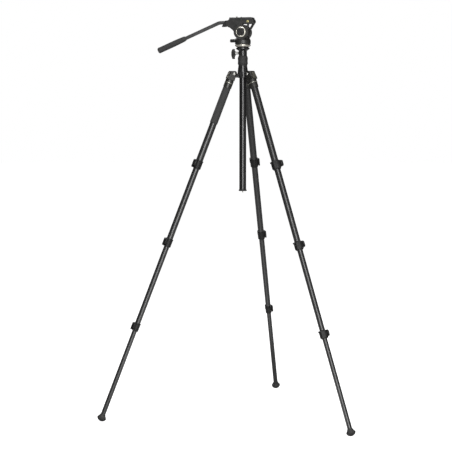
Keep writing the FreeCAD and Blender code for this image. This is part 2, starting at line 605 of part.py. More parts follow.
def tilt_platform():
    """Tilting yoke: two round cheeks on the shaft, struts, and the deck with the plate channel."""
    web_fronts = {-1: 4.0, 1: -3.0}
    struts = {-1: [(21.5, 1577.0), (28.8, 1573.0), (32.5, 1594.0), (25.0, 1594.0)],
              1: [(24.0, 1577.0), (30.2, 1571.5), (47.0, 1598.0), (40.0, 1600.0), (33.5, 1593.0)]}
    pieces = []
    for side in (-1, 1):
        disc = across(DISC_RADIUS, 0, TILT_HEIGHT, side * DISC_INNER, side * DISC_OUTER)
        low, high = sorted((side * DISC_INNER, side * DECK_HALF_WIDTH))
        front = web_fronts[side]
        rear_web = plate_xz([(-25.0, 1556.0), (-31.0, 1561.0), (-38.6, 1569.0), (-47.0, 1575.6),
                             (-60.0, 1581.5), (-64.5, 1588.0), (-64.5, 1603.0), (DECK_BACK, 1608.0),
                             (front, 1594.0), (front, 1580.0), (-12.0, 1575.0)], low, high)
        pieces += [disc, rear_web, plate_xz(struts[side], low, high)]
    nose = DECK_FRONT + 0.4
    deck = plate_xz([(DECK_BACK, DECK_BOTTOM), (41.5, DECK_BOTTOM), (DECK_FRONT, 1598.0),
                     (nose, 1602.5), (44.6, DECK_TOP), (DECK_BACK, DECK_TOP)],
                    -DECK_HALF_WIDTH, DECK_HALF_WIDTH)
    bracket = block((-62.0, -DECK_HALF_WIDTH, 1589.5), (-48.0, DECK_HALF_WIDTH, CHANNEL_FLOOR - 0.2))
    lug_face = ROSETTE_FACE + GAP
    lug = joined(
        across(ROSETTE_RADIUS, ROSETTE_X, ROSETTE_HEIGHT, lug_face, LUG_OUTER),
        block((ROSETTE_X, lug_face, ROSETTE_HEIGHT - ROSETTE_RADIUS),
              (-58.0, LUG_OUTER, ROSETTE_HEIGHT + 6.0)),
    )
    body = joined(deck, bracket, lug, *pieces)
    running = BOLT_RADIUS + RUNNING_FIT
    shaft_end = 25.0
    cuts = [
        block((-80, -CHANNEL_HALF_WIDTH, CHANNEL_FLOOR), (80, CHANNEL_HALF_WIDTH, 1640)),
        across(SHAFT_RADIUS, 0, TILT_HEIGHT, -shaft_end, shaft_end),
        across(running, 0, TILT_HEIGHT, shaft_end + 0.5, 40),
        across(running, 0, TILT_HEIGHT, -40, -shaft_end - 0.5),
        across(running, ROSETTE_X, ROSETTE_HEIGHT, -5, 15),
        across(ROSETTE_RADIUS + 2.0, ROSETTE_X, ROSETTE_HEIGHT, FIN_HUB_NEAR - 0.6, ROSETTE_FACE),
        across(ACCESSORY_BORE, ACCESSORY_X, ACCESSORY_HEIGHT, -30, -DECK_HALF_WIDTH + 8.0),
        across(running, PLATE_LOCK_X, PLATE_LOCK_HEIGHT, 17.0, 30),
    ]
    return body.cut(cuts).removeSplitter()


def drag_dial():
    """Bright ring and ribbed dial that set the tilt drag."""
    z = TILT_HEIGHT
    face = -DISC_OUTER - 0.4
    rib_reach = DIAL_RADIUS - 1.0
    bezel = across(BEZEL_RADIUS, 0, z, face - BEZEL_DEPTH, face)
    bezel = bezel.makeChamfer(1.0, [e for e in bezel.Edges if e.BoundBox.YMax < face - 4.0])
    bezel = bezel.cut(across(DIAL_RADIUS, 0, z, face - 10, face + 1))
    knob = joined(across(DIAL_RADIUS, 0, z, face - 2.4, face), across(BOLT_RADIUS, 0, z, face, face + 5.5))
    for index in range(-3, 4):
        offset = index * DIAL_RIB_PITCH
        half = math.sqrt(rib_reach ** 2 - offset ** 2)
        knob = knob.fuse(block((-half, face - 3.6, z + offset - 0.9), (half, face - 2.0, z + offset + 0.9)))
    return Part.makeCompound([bezel, knob.removeSplitter()])


def tilt_lock_lever():
    """Lever on the left end of the tilt axis that locks the tilt."""
    z = TILT_HEIGHT
    face = DISC_OUTER + 0.4
    arm = block((-36.0, face + 2.0, z - 4.5), (0, face + 8.0, z + 4.5))
    arm = arm.makeFillet(2.5, [e for e in arm.Edges if e.BoundBox.XMax < -35.0])
    arm.rotate(V(0, 0, z), V(0, 1, 0), 30)
    hub = across(11.0, 0, z, face, face + 9.5)
    hub = hub.makeChamfer(1.2, [e for e in hub.Edges if e.BoundBox.YMin > face + 9.0])
    return joined(hub, arm, across(BOLT_RADIUS, 0, z, face - 5.0, face + 1.0))


def quick_release_plate():
    """Sliding camera plate with its register pin."""
    runner = block((PLATE_BACK, -CHANNEL_HALF_WIDTH + GAP, CHANNEL_FLOOR + GAP),
                   (PLATE_FRONT, CHANNEL_HALF_WIDTH - GAP, DECK_TOP + 1.0))
    top = block((PLATE_BACK, -24.0, DECK_TOP + 0.4), (PLATE_FRONT, 24.0, PLATE_TOP))
    top = top.makeFillet(3.0, [e for e in top.Edges if e.BoundBox.ZLength > 4.0])
    body = joined(runner, top)
    x = CAMERA_SCREW_X
    body = body.cut(cylinder(CAMERA_SCREW_RADIUS + 0.2, (x, 0, 1600), (x, 0, 1630)))
    body = body.cut(cylinder(CAMERA_SCREW_HEAD + 0.5, (x, 0, 1600), (x, 0, DECK_TOP + 0.5)))
    pin_bottom, pin_top = PLATE_TOP + GAP, PLATE_TOP + REGISTER_PIN_HEIGHT
    pin_x = REGISTER_PIN_X
    pin = joined(cylinder(REGISTER_PIN_SHANK, (pin_x, 0, DECK_TOP + 1.0), (pin_x, 0, pin_top)),
                 cylinder(REGISTER_PIN_RADIUS, (pin_x, 0, pin_bottom), (pin_x, 0, pin_top)))
    recess = cylinder(REGISTER_PIN_RADIUS + 0.4, (pin_x, 0, PLATE_TOP - 0.6), (pin_x, 0, PLATE_TOP + 1.0))
    return Part.makeCompound([body.cut([pin, recess]).removeSplitter(), pin])


def camera_screw():
    """Quarter-inch camera screw on a thinner shank, with its flat head under the plate."""
    x = CAMERA_SCREW_X
    return joined(cylinder(CAMERA_SCREW_SHANK, (x, 0, 1608), (x, 0, CAMERA_SCREW_TOP)),
                  cylinder(CAMERA_SCREW_RADIUS, (x, 0, PLATE_TOP + GAP), (x, 0, CAMERA_SCREW_TOP)),
                  cylinder(CAMERA_SCREW_HEAD, (x, 0, DECK_TOP - 4.0), (x, 0, DECK_TOP)))


def plate_lock_lever():
    """Lever on the left side of the deck that clamps the plate."""
    x, z = PLATE_LOCK_X, PLATE_LOCK_HEIGHT
    face = DECK_HALF_WIDTH + 0.4
    arm = block((x, face + 2.0, z - 4.5), (x + 27.0, face + 8.0, z + 4.5))
    arm = arm.makeFillet(2.5, [e for e in arm.Edges if e.BoundBox.XMin > x + 26.0])
    return joined(across(8.5, x, z, face, face + 9.0), arm, across(BOLT_RADIUS, x, z, face - 6.0, face + 1.0))


# ---------------------------------------------------------------- pan handle
def handle_axis(distance):
    """Point on the sloping part of the handle, measured from the bend's corner."""
    slope = math.radians(HANDLE_SLOPE)
    return V(HANDLE_BEND_X - distance * math.cos(slope), HANDLE_Y,
             ROSETTE_HEIGHT - distance * math.sin(slope))


def pan_handle():
    """Bent handle bar with a rosette at its root, and the grip on its end."""
    setback = HANDLE_BEND_RADIUS * math.tan(math.radians(HANDLE_SLOPE) / 2)
    start = V(ROSETTE_X, HANDLE_Y, ROSETTE_HEIGHT)
    before = V(HANDLE_BEND_X + setback, HANDLE_Y, ROSETTE_HEIGHT)
    centre = before + V(0, 0, -HANDLE_BEND_RADIUS)
    half = math.radians(HANDLE_SLOPE) / 2
    middle = centre + V(-HANDLE_BEND_RADIUS * math.sin(half), 0, HANDLE_BEND_RADIUS * math.cos(half))
    after = handle_axis(setback)
    end = handle_axis(GRIP_END - 12.0)
    path = Part.Wire([Part.makeLine(start, before), Part.Arc(before, middle, after).toShape(),
                      Part.makeLine(after, end)])
    section = Part.Wire([Part.makeCircle(HANDLE_RADIUS, start, V(-1, 0, 0))])
    bar = path.makePipeShell([section], True, False)
    root = across(ROSETTE_RADIUS, ROSETTE_X, ROSETTE_HEIGHT, HANDLE_Y - HANDLE_RADIUS, ROSETTE_FACE)
    bar = joined(bar, root)
    bar = bar.cut(across(BOLT_RADIUS + RUNNING_FIT, ROSETTE_X, ROSETTE_HEIGHT, -20, 10))
    length = GRIP_END - GRIP_START
    grip = turned([(HANDLE_RADIUS, 0), (HANDLE_RADIUS + 1.6, 0), (GRIP_RADIUS - 1.6, 9.0),
                   (GRIP_RADIUS - 0.8, 22.0), (GRIP_RADIUS, 60.0), (GRIP_RADIUS - 0.4, length - 4.0),
                   (GRIP_RADIUS - 2.6, length - 0.8), (GRIP_RADIUS - 5.0, length), (0, length),
                   (0, length - 12.0), (HANDLE_RADIUS, length - 12.0)])
    grip.rotate(V(0, 0, 0), V(0, 1, 0), -90 - HANDLE_SLOPE)
    grip.translate(handle_axis(GRIP_START))
    return Part.makeCompound([bar, grip])


def handle_clamp_lever():
    """Fin-shaped lever on the bolt that clamps the handle's rosette."""
    x, z = ROSETTE_X, ROSETTE_HEIGHT
    fin = plate_xz([(x - 15.5, z - 16.2), (x - 13.0, z - 18.0), (x + 5.0, z - 18.0), (x + 4.5, z - 2.0),
                    (x - 6.0, z + 3.0)], FIN_NEAR, FIN_FAR)
    hub = across(FIN_HUB_RADIUS, x, z, FIN_HUB_NEAR, HANDLE_Y - HANDLE_RADIUS - GAP)
    bolt = across(BOLT_RADIUS, x, z, FIN_FAR, LUG_OUTER + 0.4)
    return joined(fin, hub, bolt)


# ---------------------------------------------------------------- output
def all_nodes():
    """Every piece of the tripod by node name."""
    nodes = leg_nodes()
    for make in (spider_casting, leg_pivot_bolts, column_lock_ring, column_tube, column_hook,
                 leveling_cup, leveling_half_ball, leveling_clamp_pad, leveling_knob, pan_housing,
                 pan_lock_knob, tilt_shaft, tilt_platform, drag_dial, tilt_lock_lever,
                 quick_release_plate, camera_screw, plate_lock_lever, pan_handle, handle_clamp_lever):
        nodes[make.__name__] = make()
    return nodes


def main():
    os.makedirs("parts", exist_ok=True)
    for name, shape in all_nodes().items():
        if not shape.isValid():
            print("not valid:", name)
        print(name, len(shape.Solids), "solid(s)", round(shape.Volume, 1))
        shape.exportStep(f"parts/{name}.step")


main()
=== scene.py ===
import json
import math

import bmesh
import bpy
from mathutils import Matrix, Vector


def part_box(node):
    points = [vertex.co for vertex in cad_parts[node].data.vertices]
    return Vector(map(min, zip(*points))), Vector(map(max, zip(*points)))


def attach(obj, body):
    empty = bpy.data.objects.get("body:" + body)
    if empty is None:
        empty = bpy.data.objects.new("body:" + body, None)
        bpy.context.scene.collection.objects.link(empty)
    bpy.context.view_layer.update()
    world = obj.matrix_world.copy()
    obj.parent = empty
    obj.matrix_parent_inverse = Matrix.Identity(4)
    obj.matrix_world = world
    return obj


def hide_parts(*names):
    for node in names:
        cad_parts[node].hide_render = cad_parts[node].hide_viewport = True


# Looks of the tripod and its fluid head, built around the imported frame. Metres, +Z up, +X camera-forward.
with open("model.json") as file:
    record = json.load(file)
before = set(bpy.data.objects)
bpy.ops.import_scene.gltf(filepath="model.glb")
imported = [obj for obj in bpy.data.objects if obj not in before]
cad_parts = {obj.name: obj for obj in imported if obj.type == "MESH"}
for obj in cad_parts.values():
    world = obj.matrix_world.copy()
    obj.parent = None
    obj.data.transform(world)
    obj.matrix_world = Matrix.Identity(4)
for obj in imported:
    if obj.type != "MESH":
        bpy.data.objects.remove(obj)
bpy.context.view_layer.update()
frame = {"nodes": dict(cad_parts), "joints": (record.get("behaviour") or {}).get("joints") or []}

MM = 0.001
LEGS = ("side_leg", "back_leg", "front_leg")
JOINTS = {joint["name"]: joint for joint in frame["joints"]}

# ---------------------------------------------------------------- driving dimensions
TOW_COUNTS = (44, 40, 36, 32)      # carbon tows round each tube, in whole twill repeats of four
SOCKET_RADIUS = 16.9 * MM          # round lower part of a leg's casting
TRIM_LOW = -42.4 * MM              # ends of its trim ring, along the leg from the hinge
TRIM_HIGH = -39.6 * MM
SOLE_RADIUS = 20.5 * MM            # round tread of a foot
LEVER_HUB_LOW = -5.5 * MM          # ends of a flip lever's hub, along the leg from its joint
LEVER_HUB_HIGH = 12.0 * MM
LEVER_END = -76.0                  # where a lever's band ends, in degrees round the leg from its outer side
RING_BORE = 14.6 * MM              # twist ring: its bore at the top and the wider seat under it
RING_SEAT = 17.35 * MM
CAP_BOTTOM = 918.0 * MM            # underside of the column's end cap
STAPLE_WIRE = 1.2 * MM             # radius of the weight staple's wire
STAPLE_HALF = 4.7 * MM             # half the distance between its legs
BALL_RADIUS = 26.0 * MM            # levelling ball, cut flat at the bottom and under the band
BALL_LOW_RADIUS = 17.2 * MM
BALL_HIGH_RADIUS = 24.3 * MM
WING_ROOT = -33.2 * MM             # inner edge of the wing knob, along X
KNOB_ROOT = -34.0 * MM             # inner face of the pan lock knob, along X
DIAL_RADIUS = 20.3 * MM
DIAL_DEPTH = 4.6 * MM
DIAL_OPENING = 15.6 * MM           # half width of the eight-sided opening
DIAL_CORNER = 6.8 * MM             # how much of each corner is cut off
PLATE_TOP = 1617.0 * MM            # upper face of the sliding plate, without its pin
DECK_SIDE = -25.5 * MM             # right side of the deck
INSERT_PLACE = (26.0 * MM, 1601.0 * MM)     # centre of the threaded insert, in X and Z
LEVEL_PLACE = (-3.0 * MM, 1607.6 * MM)      # centre of the bubble level, in X and Z
HANDLE_SLOPE = math.radians(23.0)
HANDLE_BEND_X = -96.0 * MM         # corner of the bent bar
HANDLE_BEND_RADIUS = 45.0 * MM
HANDLE_RADIUS = 7.2 * MM
GRIP_START = 156.0 * MM            # ends of the grip along the sloping part, from the bend's corner
GRIP_END = 283.0 * MM
GRIP_RADIUS = 12.0 * MM
CAMERA_DISTANCE = 5.9353
CAMERA_AZIMUTH = math.radians(15.5)
CAMERA_HEIGHT = 1.23699
CAMERA_SIDESTEP = -0.06798         # the camera stands a little left of the column
CAMERA_DROP = math.radians(4.452)
CAMERA_LENS = 116.34
FLOOR_RADIUS = 30.0
FLOOR_GAP = 0.4 * MM               # keeps the floor's surface clear of the soles
LAMP_TARGET = 0.8                  # height that the lamps are aimed at
WORLD_LIGHT = 0.055                # strength of the white surroundings as light. The camera sees them at 1


# ---------------------------------------------------------------- places read from the frame
def joint_place(name):
    return Vector(JOINTS[name]["pos_m"])


def joint_axis(name):
    return Vector(JOINTS[name]["axis"]).normalized()


def matrix_of(x, y, z, origin):
    """A frame with these axes at a point."""
    made = Matrix((x, y, z)).transposed().to_4x4()
    made.translation = origin
    return made


def along(axis, origin):
    """A frame whose Z points along an axis."""
    z = Vector(axis).normalized()
    helper = Vector((0, 0, 1)) if abs(z.z) < 0.9 else Vector((1, 0, 0))
    x = helper.cross(z).normalized()
    return matrix_of(x, z.cross(x), z, Vector(origin))


def leg_matrix(leg):
    """The leg's own frame: +Z up along the tubes, +X outward, and the hinge at height 0."""
    up = joint_axis(f"{leg}_draw_2")
    tangent = joint_axis(f"{leg}_fold")
    outward = tangent.cross(up)
    vertices = frame["nodes"][f"{leg}_tube_2"].data.vertices
    on_axis = sum((vertex.co for vertex in vertices), Vector()) / len(vertices)
    hinge = joint_place(f"{leg}_fold")
    origin = on_axis + up * (hinge - on_axis).dot(up)
    return matrix_of(outward, tangent, up, origin)


def local_points(node, matrix):
    """A CAD node's vertices in a frame of its own."""
    inverse = matrix.inverted()
    return [inverse @ vertex.co for vertex in frame["nodes"][node].data.vertices]


def radial(point):
    """Distance of a point from its frame's Z axis."""
    return math.hypot(point.x, point.y)


def tube_radius(index):
    """Outer radius of a leg tube."""
    return max(radial(point) for point in local_points(f"side_leg_tube_{index + 1}", leg_matrix("side_leg")))


def height_range(node, matrix):
    """Lowest and highest point of a node along the frame's own Z."""
    heights = [point.z for point in local_points(node, matrix)]
    return min(heights), max(heights)


# ---------------------------------------------------------------- material nodes
class Shader:
    """One procedural material. Coordinates are the piece's own, in metres, so that patterns move with it."""

    def __init__(self, name):
        self.material = bpy.data.materials.new(name)
        self.material.use_nodes = True
        self.tree = self.material.node_tree
        self.surface = self.tree.nodes["Principled BSDF"]
        self.place = self.node("ShaderNodeTexCoord").outputs["Object"]

    def node(self, kind, **settings):
        made = self.tree.nodes.new(kind)
        for key, value in settings.items():
            setattr(made, key, value)
        return made

    def put(self, value, socket):
        """Links a socket, or sets a number or colour."""
        if isinstance(value, bpy.types.NodeSocket):
            self.tree.links.new(value, socket)
        else:
            socket.default_value = value

    def math(self, operation, first, second=0.0):
        made = self.node("ShaderNodeMath", operation=operation)
        self.put(first, made.inputs[0])
        self.put(second, made.inputs[1])
        return made.outputs[0]

    def spread(self, value, low, high, to_low=0.0, to_high=1.0):
        """A value mapped from one range to another, and held there."""
        made = self.node("ShaderNodeMapRange")
        for index, part in enumerate((value, low, high, to_low, to_high)):
            self.put(part, made.inputs[index])
        return made.outputs[0]

    def noise(self, size, detail=2.0, place=None):
        """Soft noise whose features are about this many metres wide."""
        made = self.node("ShaderNodeTexNoise")
        made.inputs["Scale"].default_value = 1.0 / size
        made.inputs["Detail"].default_value = detail
        self.put(self.place if place is None else place, made.inputs["Vector"])
        return made.outputs["Fac"]

    def cells(self, size):
        """Distance from the centres of small cells of this width."""
        made = self.node("ShaderNodeTexVoronoi")
        made.inputs["Scale"].default_value = 1.0 / size
        self.put(self.place, made.inputs["Vector"])
        return made.outputs["Distance"]

    def stretched(self, x, y, z):
        """The piece's coordinates, scaled along each axis."""
        made = self.node("ShaderNodeMapping")
        made.inputs["Scale"].default_value = (x, y, z)
        self.put(self.place, made.inputs["Vector"])
        return made.outputs[0]

    def local(self, matrix):
        """X, Y and Z of the piece's coordinates, seen in another frame."""
        inverse = matrix.inverted()
        made = self.node("ShaderNodeMapping")
        made.inputs["Rotation"].default_value = inverse.to_euler("XYZ")
        made.inputs["Location"].default_value = inverse.translation
        self.put(self.place, made.inputs["Vector"])
        split = self.node("ShaderNodeSeparateXYZ")
        self.put(made.outputs[0], split.inputs[0])
        return split.outputs

    def mix(self, share, first, second):
        made = self.node("ShaderNodeMix", data_type="RGBA")
        self.put(share, made.inputs["Factor"])
        self.put(first, made.inputs["A"])
        self.put(second, made.inputs["B"])
        return made.outputs["Result"]

    def edges(self, radius):
        """1 along sharp edges and 0 on flat faces."""
        made = self.node("ShaderNodeBevel", samples=6)
        made.inputs["Radius"].default_value = radius
        geometry = self.node("ShaderNodeNewGeometry")
        across = self.node("ShaderNodeVectorMath", operation="DOT_PRODUCT")
        self.put(made.outputs[0], across.inputs[0])
        self.put(geometry.outputs["Normal"], across.inputs[1])
        return self.spread(across.outputs["Value"], 0.999, 0.93)

    def bump(self, height, depth, rounding=0.0):
        """Relief of a depth in metres, over edges that look rounded."""
        made = self.node("ShaderNodeBump")
        made.inputs["Distance"].default_value = depth
        self.put(height, made.inputs["Height"])
        if rounding:
            soft = self.node("ShaderNodeBevel", samples=6)
            soft.inputs["Radius"].default_value = rounding
            self.put(soft.outputs[0], made.inputs["Normal"])
        self.put(made.outputs[0], self.surface.inputs["Normal"])

    def finish(self, colour, roughness, metallic=0.0, coat=0.0, coat_roughness=0.2, specular=0.5):
        self.put(colour, self.surface.inputs["Base Color"])
        self.put(roughness, self.surface.inputs["Roughness"])
        self.surface.inputs["Metallic"].default_value = metallic
        self.surface.inputs["Coat Weight"].default_value = coat
        self.surface.inputs["Coat Roughness"].default_value = coat_roughness
        self.surface.inputs["Specular IOR Level"].default_value = specular
        return self.material


def grey(level, warmth=0.0):
    """A nearly neutral colour, olive when it is warm."""
    return (level * (1 + 0.4 * warmth), level, level * (1 - 1.6 * warmth), 1.0)


def carbon_weave(leg, index):
    """Two-by-two twill of carbon tows under a satin lacquer, wound round one tube, with a painted sheen:
    lighter tow crowns, and warp tows lighter than weft.
    """
    shader = Shader(f"carbon_{leg}_{index + 1}")
    x, y, z = shader.local(leg_matrix(leg))
    tow = tube_radius(index) * math.tau / TOW_COUNTS[index]
    turn = shader.math("ARCTAN2", y, x)
    around = shader.math("MULTIPLY", turn, TOW_COUNTS[index] / math.tau)
    upward = shader.math("DIVIDE", z, tow)
    step = shader.math("SUBTRACT", shader.math("FLOOR", around), shader.math("FLOOR", upward))
    warp_on_top = shader.math("LESS_THAN", shader.math("FLOORED_MODULO", step, 4.0), 1.5)
    crown_warp = shader.math("SINE", shader.math("MULTIPLY", shader.math("FRACT", around), math.pi))
    crown_weft = shader.math("SINE", shader.math("MULTIPLY", shader.math("FRACT", upward), math.pi))
    crown = shader.node("ShaderNodeMix", data_type="FLOAT")
    shader.put(warp_on_top, crown.inputs["Factor"])
    shader.put(crown_weft, crown.inputs["A"])
    shader.put(crown_warp, crown.inputs["B"])
    height = crown.outputs[0]
    fibres = shader.noise(0.25 * MM)
    cloud = shader.noise(60 * MM, 3.0)
    # Painted sheen: each tow is lighter at its crown, and warp tows are lighter than weft, in place of the
    # fibres' own highlights.
    warp_tone_and_sheen = shader.mix(height, grey(0.011), grey(0.02))
    weft_tone_and_sheen = shader.mix(height, grey(0.008), grey(0.013))
    weave_with_painted_sheen = shader.mix(warp_on_top, weft_tone_and_sheen, warp_tone_and_sheen)
    tinted = shader.mix(shader.spread(cloud, 0.35, 0.65, 0.0, 0.25), weave_with_painted_sheen, grey(0.016))
    rough = shader.math("ADD", shader.spread(height, 0.0, 1.0, 0.43, 0.37),
                        shader.spread(fibres, 0.3, 0.7, -0.04, 0.04))
    shader.bump(shader.math("ADD", height, shader.math("MULTIPLY", fibres, 0.15)), 0.01 * MM)
    return shader.finish(tinted, rough, coat=0.25, coat_roughness=0.3)


def painted(name, level, roughness, grain=0.5, depth=0.015, coat=0.0, wear=0.12, warmth=0.0, metallic=0.0,
            uneven=0.05, rounding=0.5):
    """Painted or powder-coated metal: a fine grain, slight clouds and paler edges. Sizes in millimetres."""
    shader = Shader(name)
    fine = shader.noise(grain * MM, 3.0)
    cloud = shader.noise(18 * MM, 4.0)
    rub = shader.math("MULTIPLY", shader.edges(0.7 * MM), shader.spread(shader.noise(3 * MM, 4.0), 0.35, 0.7))
    base = shader.mix(shader.spread(cloud, 0.3, 0.7), grey(level * 0.8, warmth), grey(level * 1.25, warmth))
    colour = shader.mix(shader.math("MULTIPLY", rub, 0.5), base, grey(wear, 0.03))
    rough = shader.math("ADD", shader.spread(cloud, 0.3, 0.7, roughness - uneven, roughness + uneven),
                        shader.spread(fine, 0.3, 0.7, -0.8 * uneven, 0.8 * uneven))
    shader.bump(fine, depth * MM, rounding * MM)
    return shader.finish(colour, rough, metallic=metallic, coat=coat, coat_roughness=0.15)


def moulded(name, level, roughness, cell=0.6, depth=0.03, specular=0.3):
    """Moulded plastic with a spark-eroded texture, polished where hands rub its edges."""
    shader = Shader(name)
    pits = shader.cells(cell * MM)
    cloud = shader.noise(12 * MM, 3.0)
    rub = shader.edges(0.8 * MM)
    base = shader.mix(shader.spread(cloud, 0.3, 0.7), grey(level * 0.8), grey(level * 1.2))
    colour = shader.mix(shader.math("MULTIPLY", rub, 0.4), base, grey(level * 2.4))
    rough = shader.math("SUBTRACT", shader.spread(pits, 0.0, 0.6, roughness + 0.06, roughness - 0.04),
                        shader.math("MULTIPLY", rub, 0.1))
    shader.bump(pits, depth * MM, 0.5 * MM)
    return shader.finish(colour, rough, specular=specular)


def rubber(name, level, roughness=0.75, cell=0.45, depth=0.05, dust=0.12):
    """Matte rubber or foam skin: open small cells and a trace of dust in soft patches."""
    shader = Shader(name)
    cells = shader.cells(cell * MM)
    patches = shader.noise(9 * MM, 4.0)
    base = shader.mix(shader.spread(cells, 0.1, 0.7), grey(level * 1.15), grey(level * 0.7))
    dusty = shader.math("MULTIPLY", shader.spread(patches, 0.5, 0.8), dust)
    colour = shader.mix(dusty, base, grey(0.22, 0.05))
    rough = shader.spread(patches, 0.3, 0.7, roughness - 0.06, roughness + 0.06)
    shader.bump(shader.math("ADD", cells, shader.math("MULTIPLY", patches, 0.6)), depth * MM)
    return shader.finish(colour, rough, specular=0.3)


def turned_metal(name, colour, roughness, axis, spacing=0.25, depth=0.004, stain=0.6):
    """Lathe-turned or drawn metal: fine tool lines along one axis, and faint tarnish."""
    shader = Shader(name)
    scales = [0.02, 0.02, 0.02]
    scales[axis] = 1.0
    lines = shader.noise(spacing * MM, 2.0, shader.stretched(*scales))
    tarnish = shader.noise(7 * MM, 4.0)
    dark = tuple(0.72 * part for part in colour[:3]) + (1.0,)
    tone = shader.mix(shader.spread(tarnish, 0.45, 0.75, 0.0, stain), colour, dark)
    dull = shader.spread(tarnish, 0.3, 0.7, roughness - 0.07 * stain, roughness + 0.1 * stain)
    rough = shader.math("ADD", dull, shader.spread(lines, 0.3, 0.7, -0.03, 0.03))
    shader.bump(lines, depth * MM, 0.3 * MM)
    return shader.finish(tone, rough, metallic=1.0)


def vial_green():
    """Coloured liquid of a bubble level behind its window."""
    shader = Shader("vial_green")
    swirl = shader.noise(2 * MM)
    colour = shader.mix(shader.spread(swirl, 0.3, 0.7), (0.008, 0.03, 0.006, 1.0), (0.014, 0.05, 0.01, 1.0))
    rough = shader.spread(swirl, 0.3, 0.7, 0.06, 0.12)
    return shader.finish(colour, rough, coat=1.0, coat_roughness=0.03)


# ---------------------------------------------------------------- mesh helpers
def soften(points, radius, closed=False, steps=4):
    """An outline whose corners are rounded, as far as the sides allow. An open one keeps its two ends."""
    result = []
    last = len(points) - 1
    for index, point in enumerate(points):
        here = Vector(point)
        back = Vector(points[index - 1]) - here
        ahead = Vector(points[(index + 1) % len(points)]) - here
        at_end = not closed and index in (0, last)
        if at_end or back.angle(ahead) > math.radians(178):
            result.append(tuple(here))
            continue
        reach = min(radius / math.tan(back.angle(ahead) / 2), 0.45 * back.length, 0.45 * ahead.length)
        start = here + back.normalized() * reach
        end = here + ahead.normalized() * reach
        for step in range(steps + 1):
            share = step / steps
            result.append(tuple(start * (1 - share) ** 2 + here * 2 * share * (1 - share) + end * share ** 2))
    return result


def lathe(profile, steps, ripple=None):
    """A turned solid about local Z. Off the axis, the profile's last point joins its first."""
    shape = bmesh.new()
    rings = []
    for radius, height in profile:
        if radius == 0:
            rings.append([shape.verts.new((0, 0, height))])
            continue
        ring = []
        for step in range(steps):
            angle = math.tau * step / steps
            reach = radius + (ripple(angle, radius, height) if ripple else 0.0)
            ring.append(shape.verts.new((reach * math.cos(angle), reach * math.sin(angle), height)))
        rings.append(ring)
    pairs = list(zip(rings, rings[1:]))
    if len(rings[0]) > 1:
        pairs.append((rings[-1], rings[0]))
    for first, second in pairs:
        for step in range(steps):
            ahead = (step + 1) % steps
            if len(first) == 1:
                shape.faces.new((first[0], second[step], second[ahead]))
            elif len(second) == 1:
                shape.faces.new((first[step], second[0], first[ahead]))
            else:
                shape.faces.new((first[step], second[step], second[ahead], first[ahead]))
    return shape


def loft(sections):
    """A closed solid through several loops of the same number of points, capped at both ends."""
    shape = bmesh.new()
    loops = [[shape.verts.new(point) for point in section] for section in sections]
    count = len(loops[0])
    for first, second in zip(loops, loops[1:]):
        for index in range(count):
            ahead = (index + 1) % count
            shape.faces.new((first[index], first[ahead], second[ahead], second[index]))
    shape.faces.new(loops[0])
    shape.faces.new(loops[-1])
    return shape


def sweep(path, radius, steps):
    """A round bar along a list of points, with flat ends."""
    sections = []
    side = Vector((0, 1, 0))
    for index, point in enumerate(path):
        ahead = (path[min(index + 1, len(path) - 1)] - path[max(index - 1, 0)]).normalized()
        side = (side - ahead * side.dot(ahead)).normalized()
        up = ahead.cross(side)
        angles = [math.tau * step / steps for step in range(steps)]
        sections.append([point + radius * (side * math.cos(angle) + up * math.sin(angle))
                         for angle in angles])
    return loft(sections)


def prism(outline, low, high, rounding=0.0, segments=3):
    """An outline of (x, z) points, extruded along Y, with rounded edges."""
    shape = bmesh.new()
    face = shape.faces.new([shape.verts.new((x, low, z)) for x, z in outline])
    grown = bmesh.ops.extrude_face_region(shape, geom=[face])
    far = [item for item in grown["geom"] if isinstance(item, bmesh.types.BMVert)]
    bmesh.ops.translate(shape, verts=far, vec=(0, high - low, 0))
    bmesh.ops.recalc_face_normals(shape, faces=shape.faces)
    if rounding:
        soften_edges(shape, rounding, segments)
    return shape


def soften_edges(shape, width, segments):
    """Rounds every edge sharper than 40 degrees."""
    bmesh.ops.recalc_face_normals(shape, faces=shape.faces)
    limit = math.radians(40.0)
    sharp = [edge for edge in shape.edges if edge.is_manifold and edge.calc_face_angle(0.0) > limit]
    bmesh.ops.bevel(shape, geom=sharp, offset=width, offset_type="OFFSET", segments=segments, profile=0.5,
                    affect="EDGES", clamp_overlap=True)


def moved(shape, matrix):
    """The same shape, moved by a matrix."""
    bmesh.ops.transform(shape, matrix=matrix, verts=shape.verts)
    return shape


def combined(first, second, operation="UNION"):
    """One mesh out of two closed ones, joined or with the second cut out of the first."""
    objects = []
    for shape in (first, second):
        bmesh.ops.recalc_face_normals(shape, faces=shape.faces)
        mesh = bpy.data.meshes.new("scratch")
        shape.to_mesh(mesh)
        shape.free()
        scratch = bpy.data.objects.new("scratch", mesh)
        bpy.context.scene.collection.objects.link(scratch)
        objects.append(scratch)
    modifier = objects[0].modifiers.new("join", "BOOLEAN")
    modifier.operation = operation
    modifier.solver = "EXACT"
    modifier.object = objects[1]
    graph = bpy.context.evaluated_depsgraph_get()
    result = bmesh.new()
    result.from_mesh(objects[0].evaluated_get(graph).to_mesh())
    for scratch in objects:
        bpy.data.objects.remove(scratch)
    return result


def appended(first, second):
    """Two shapes in one mesh, not joined."""
    scratch = bpy.data.meshes.new("scratch")
    second.to_mesh(scratch)
    second.free()
    first.from_mesh(scratch)
    bpy.data.meshes.remove(scratch)
    return first


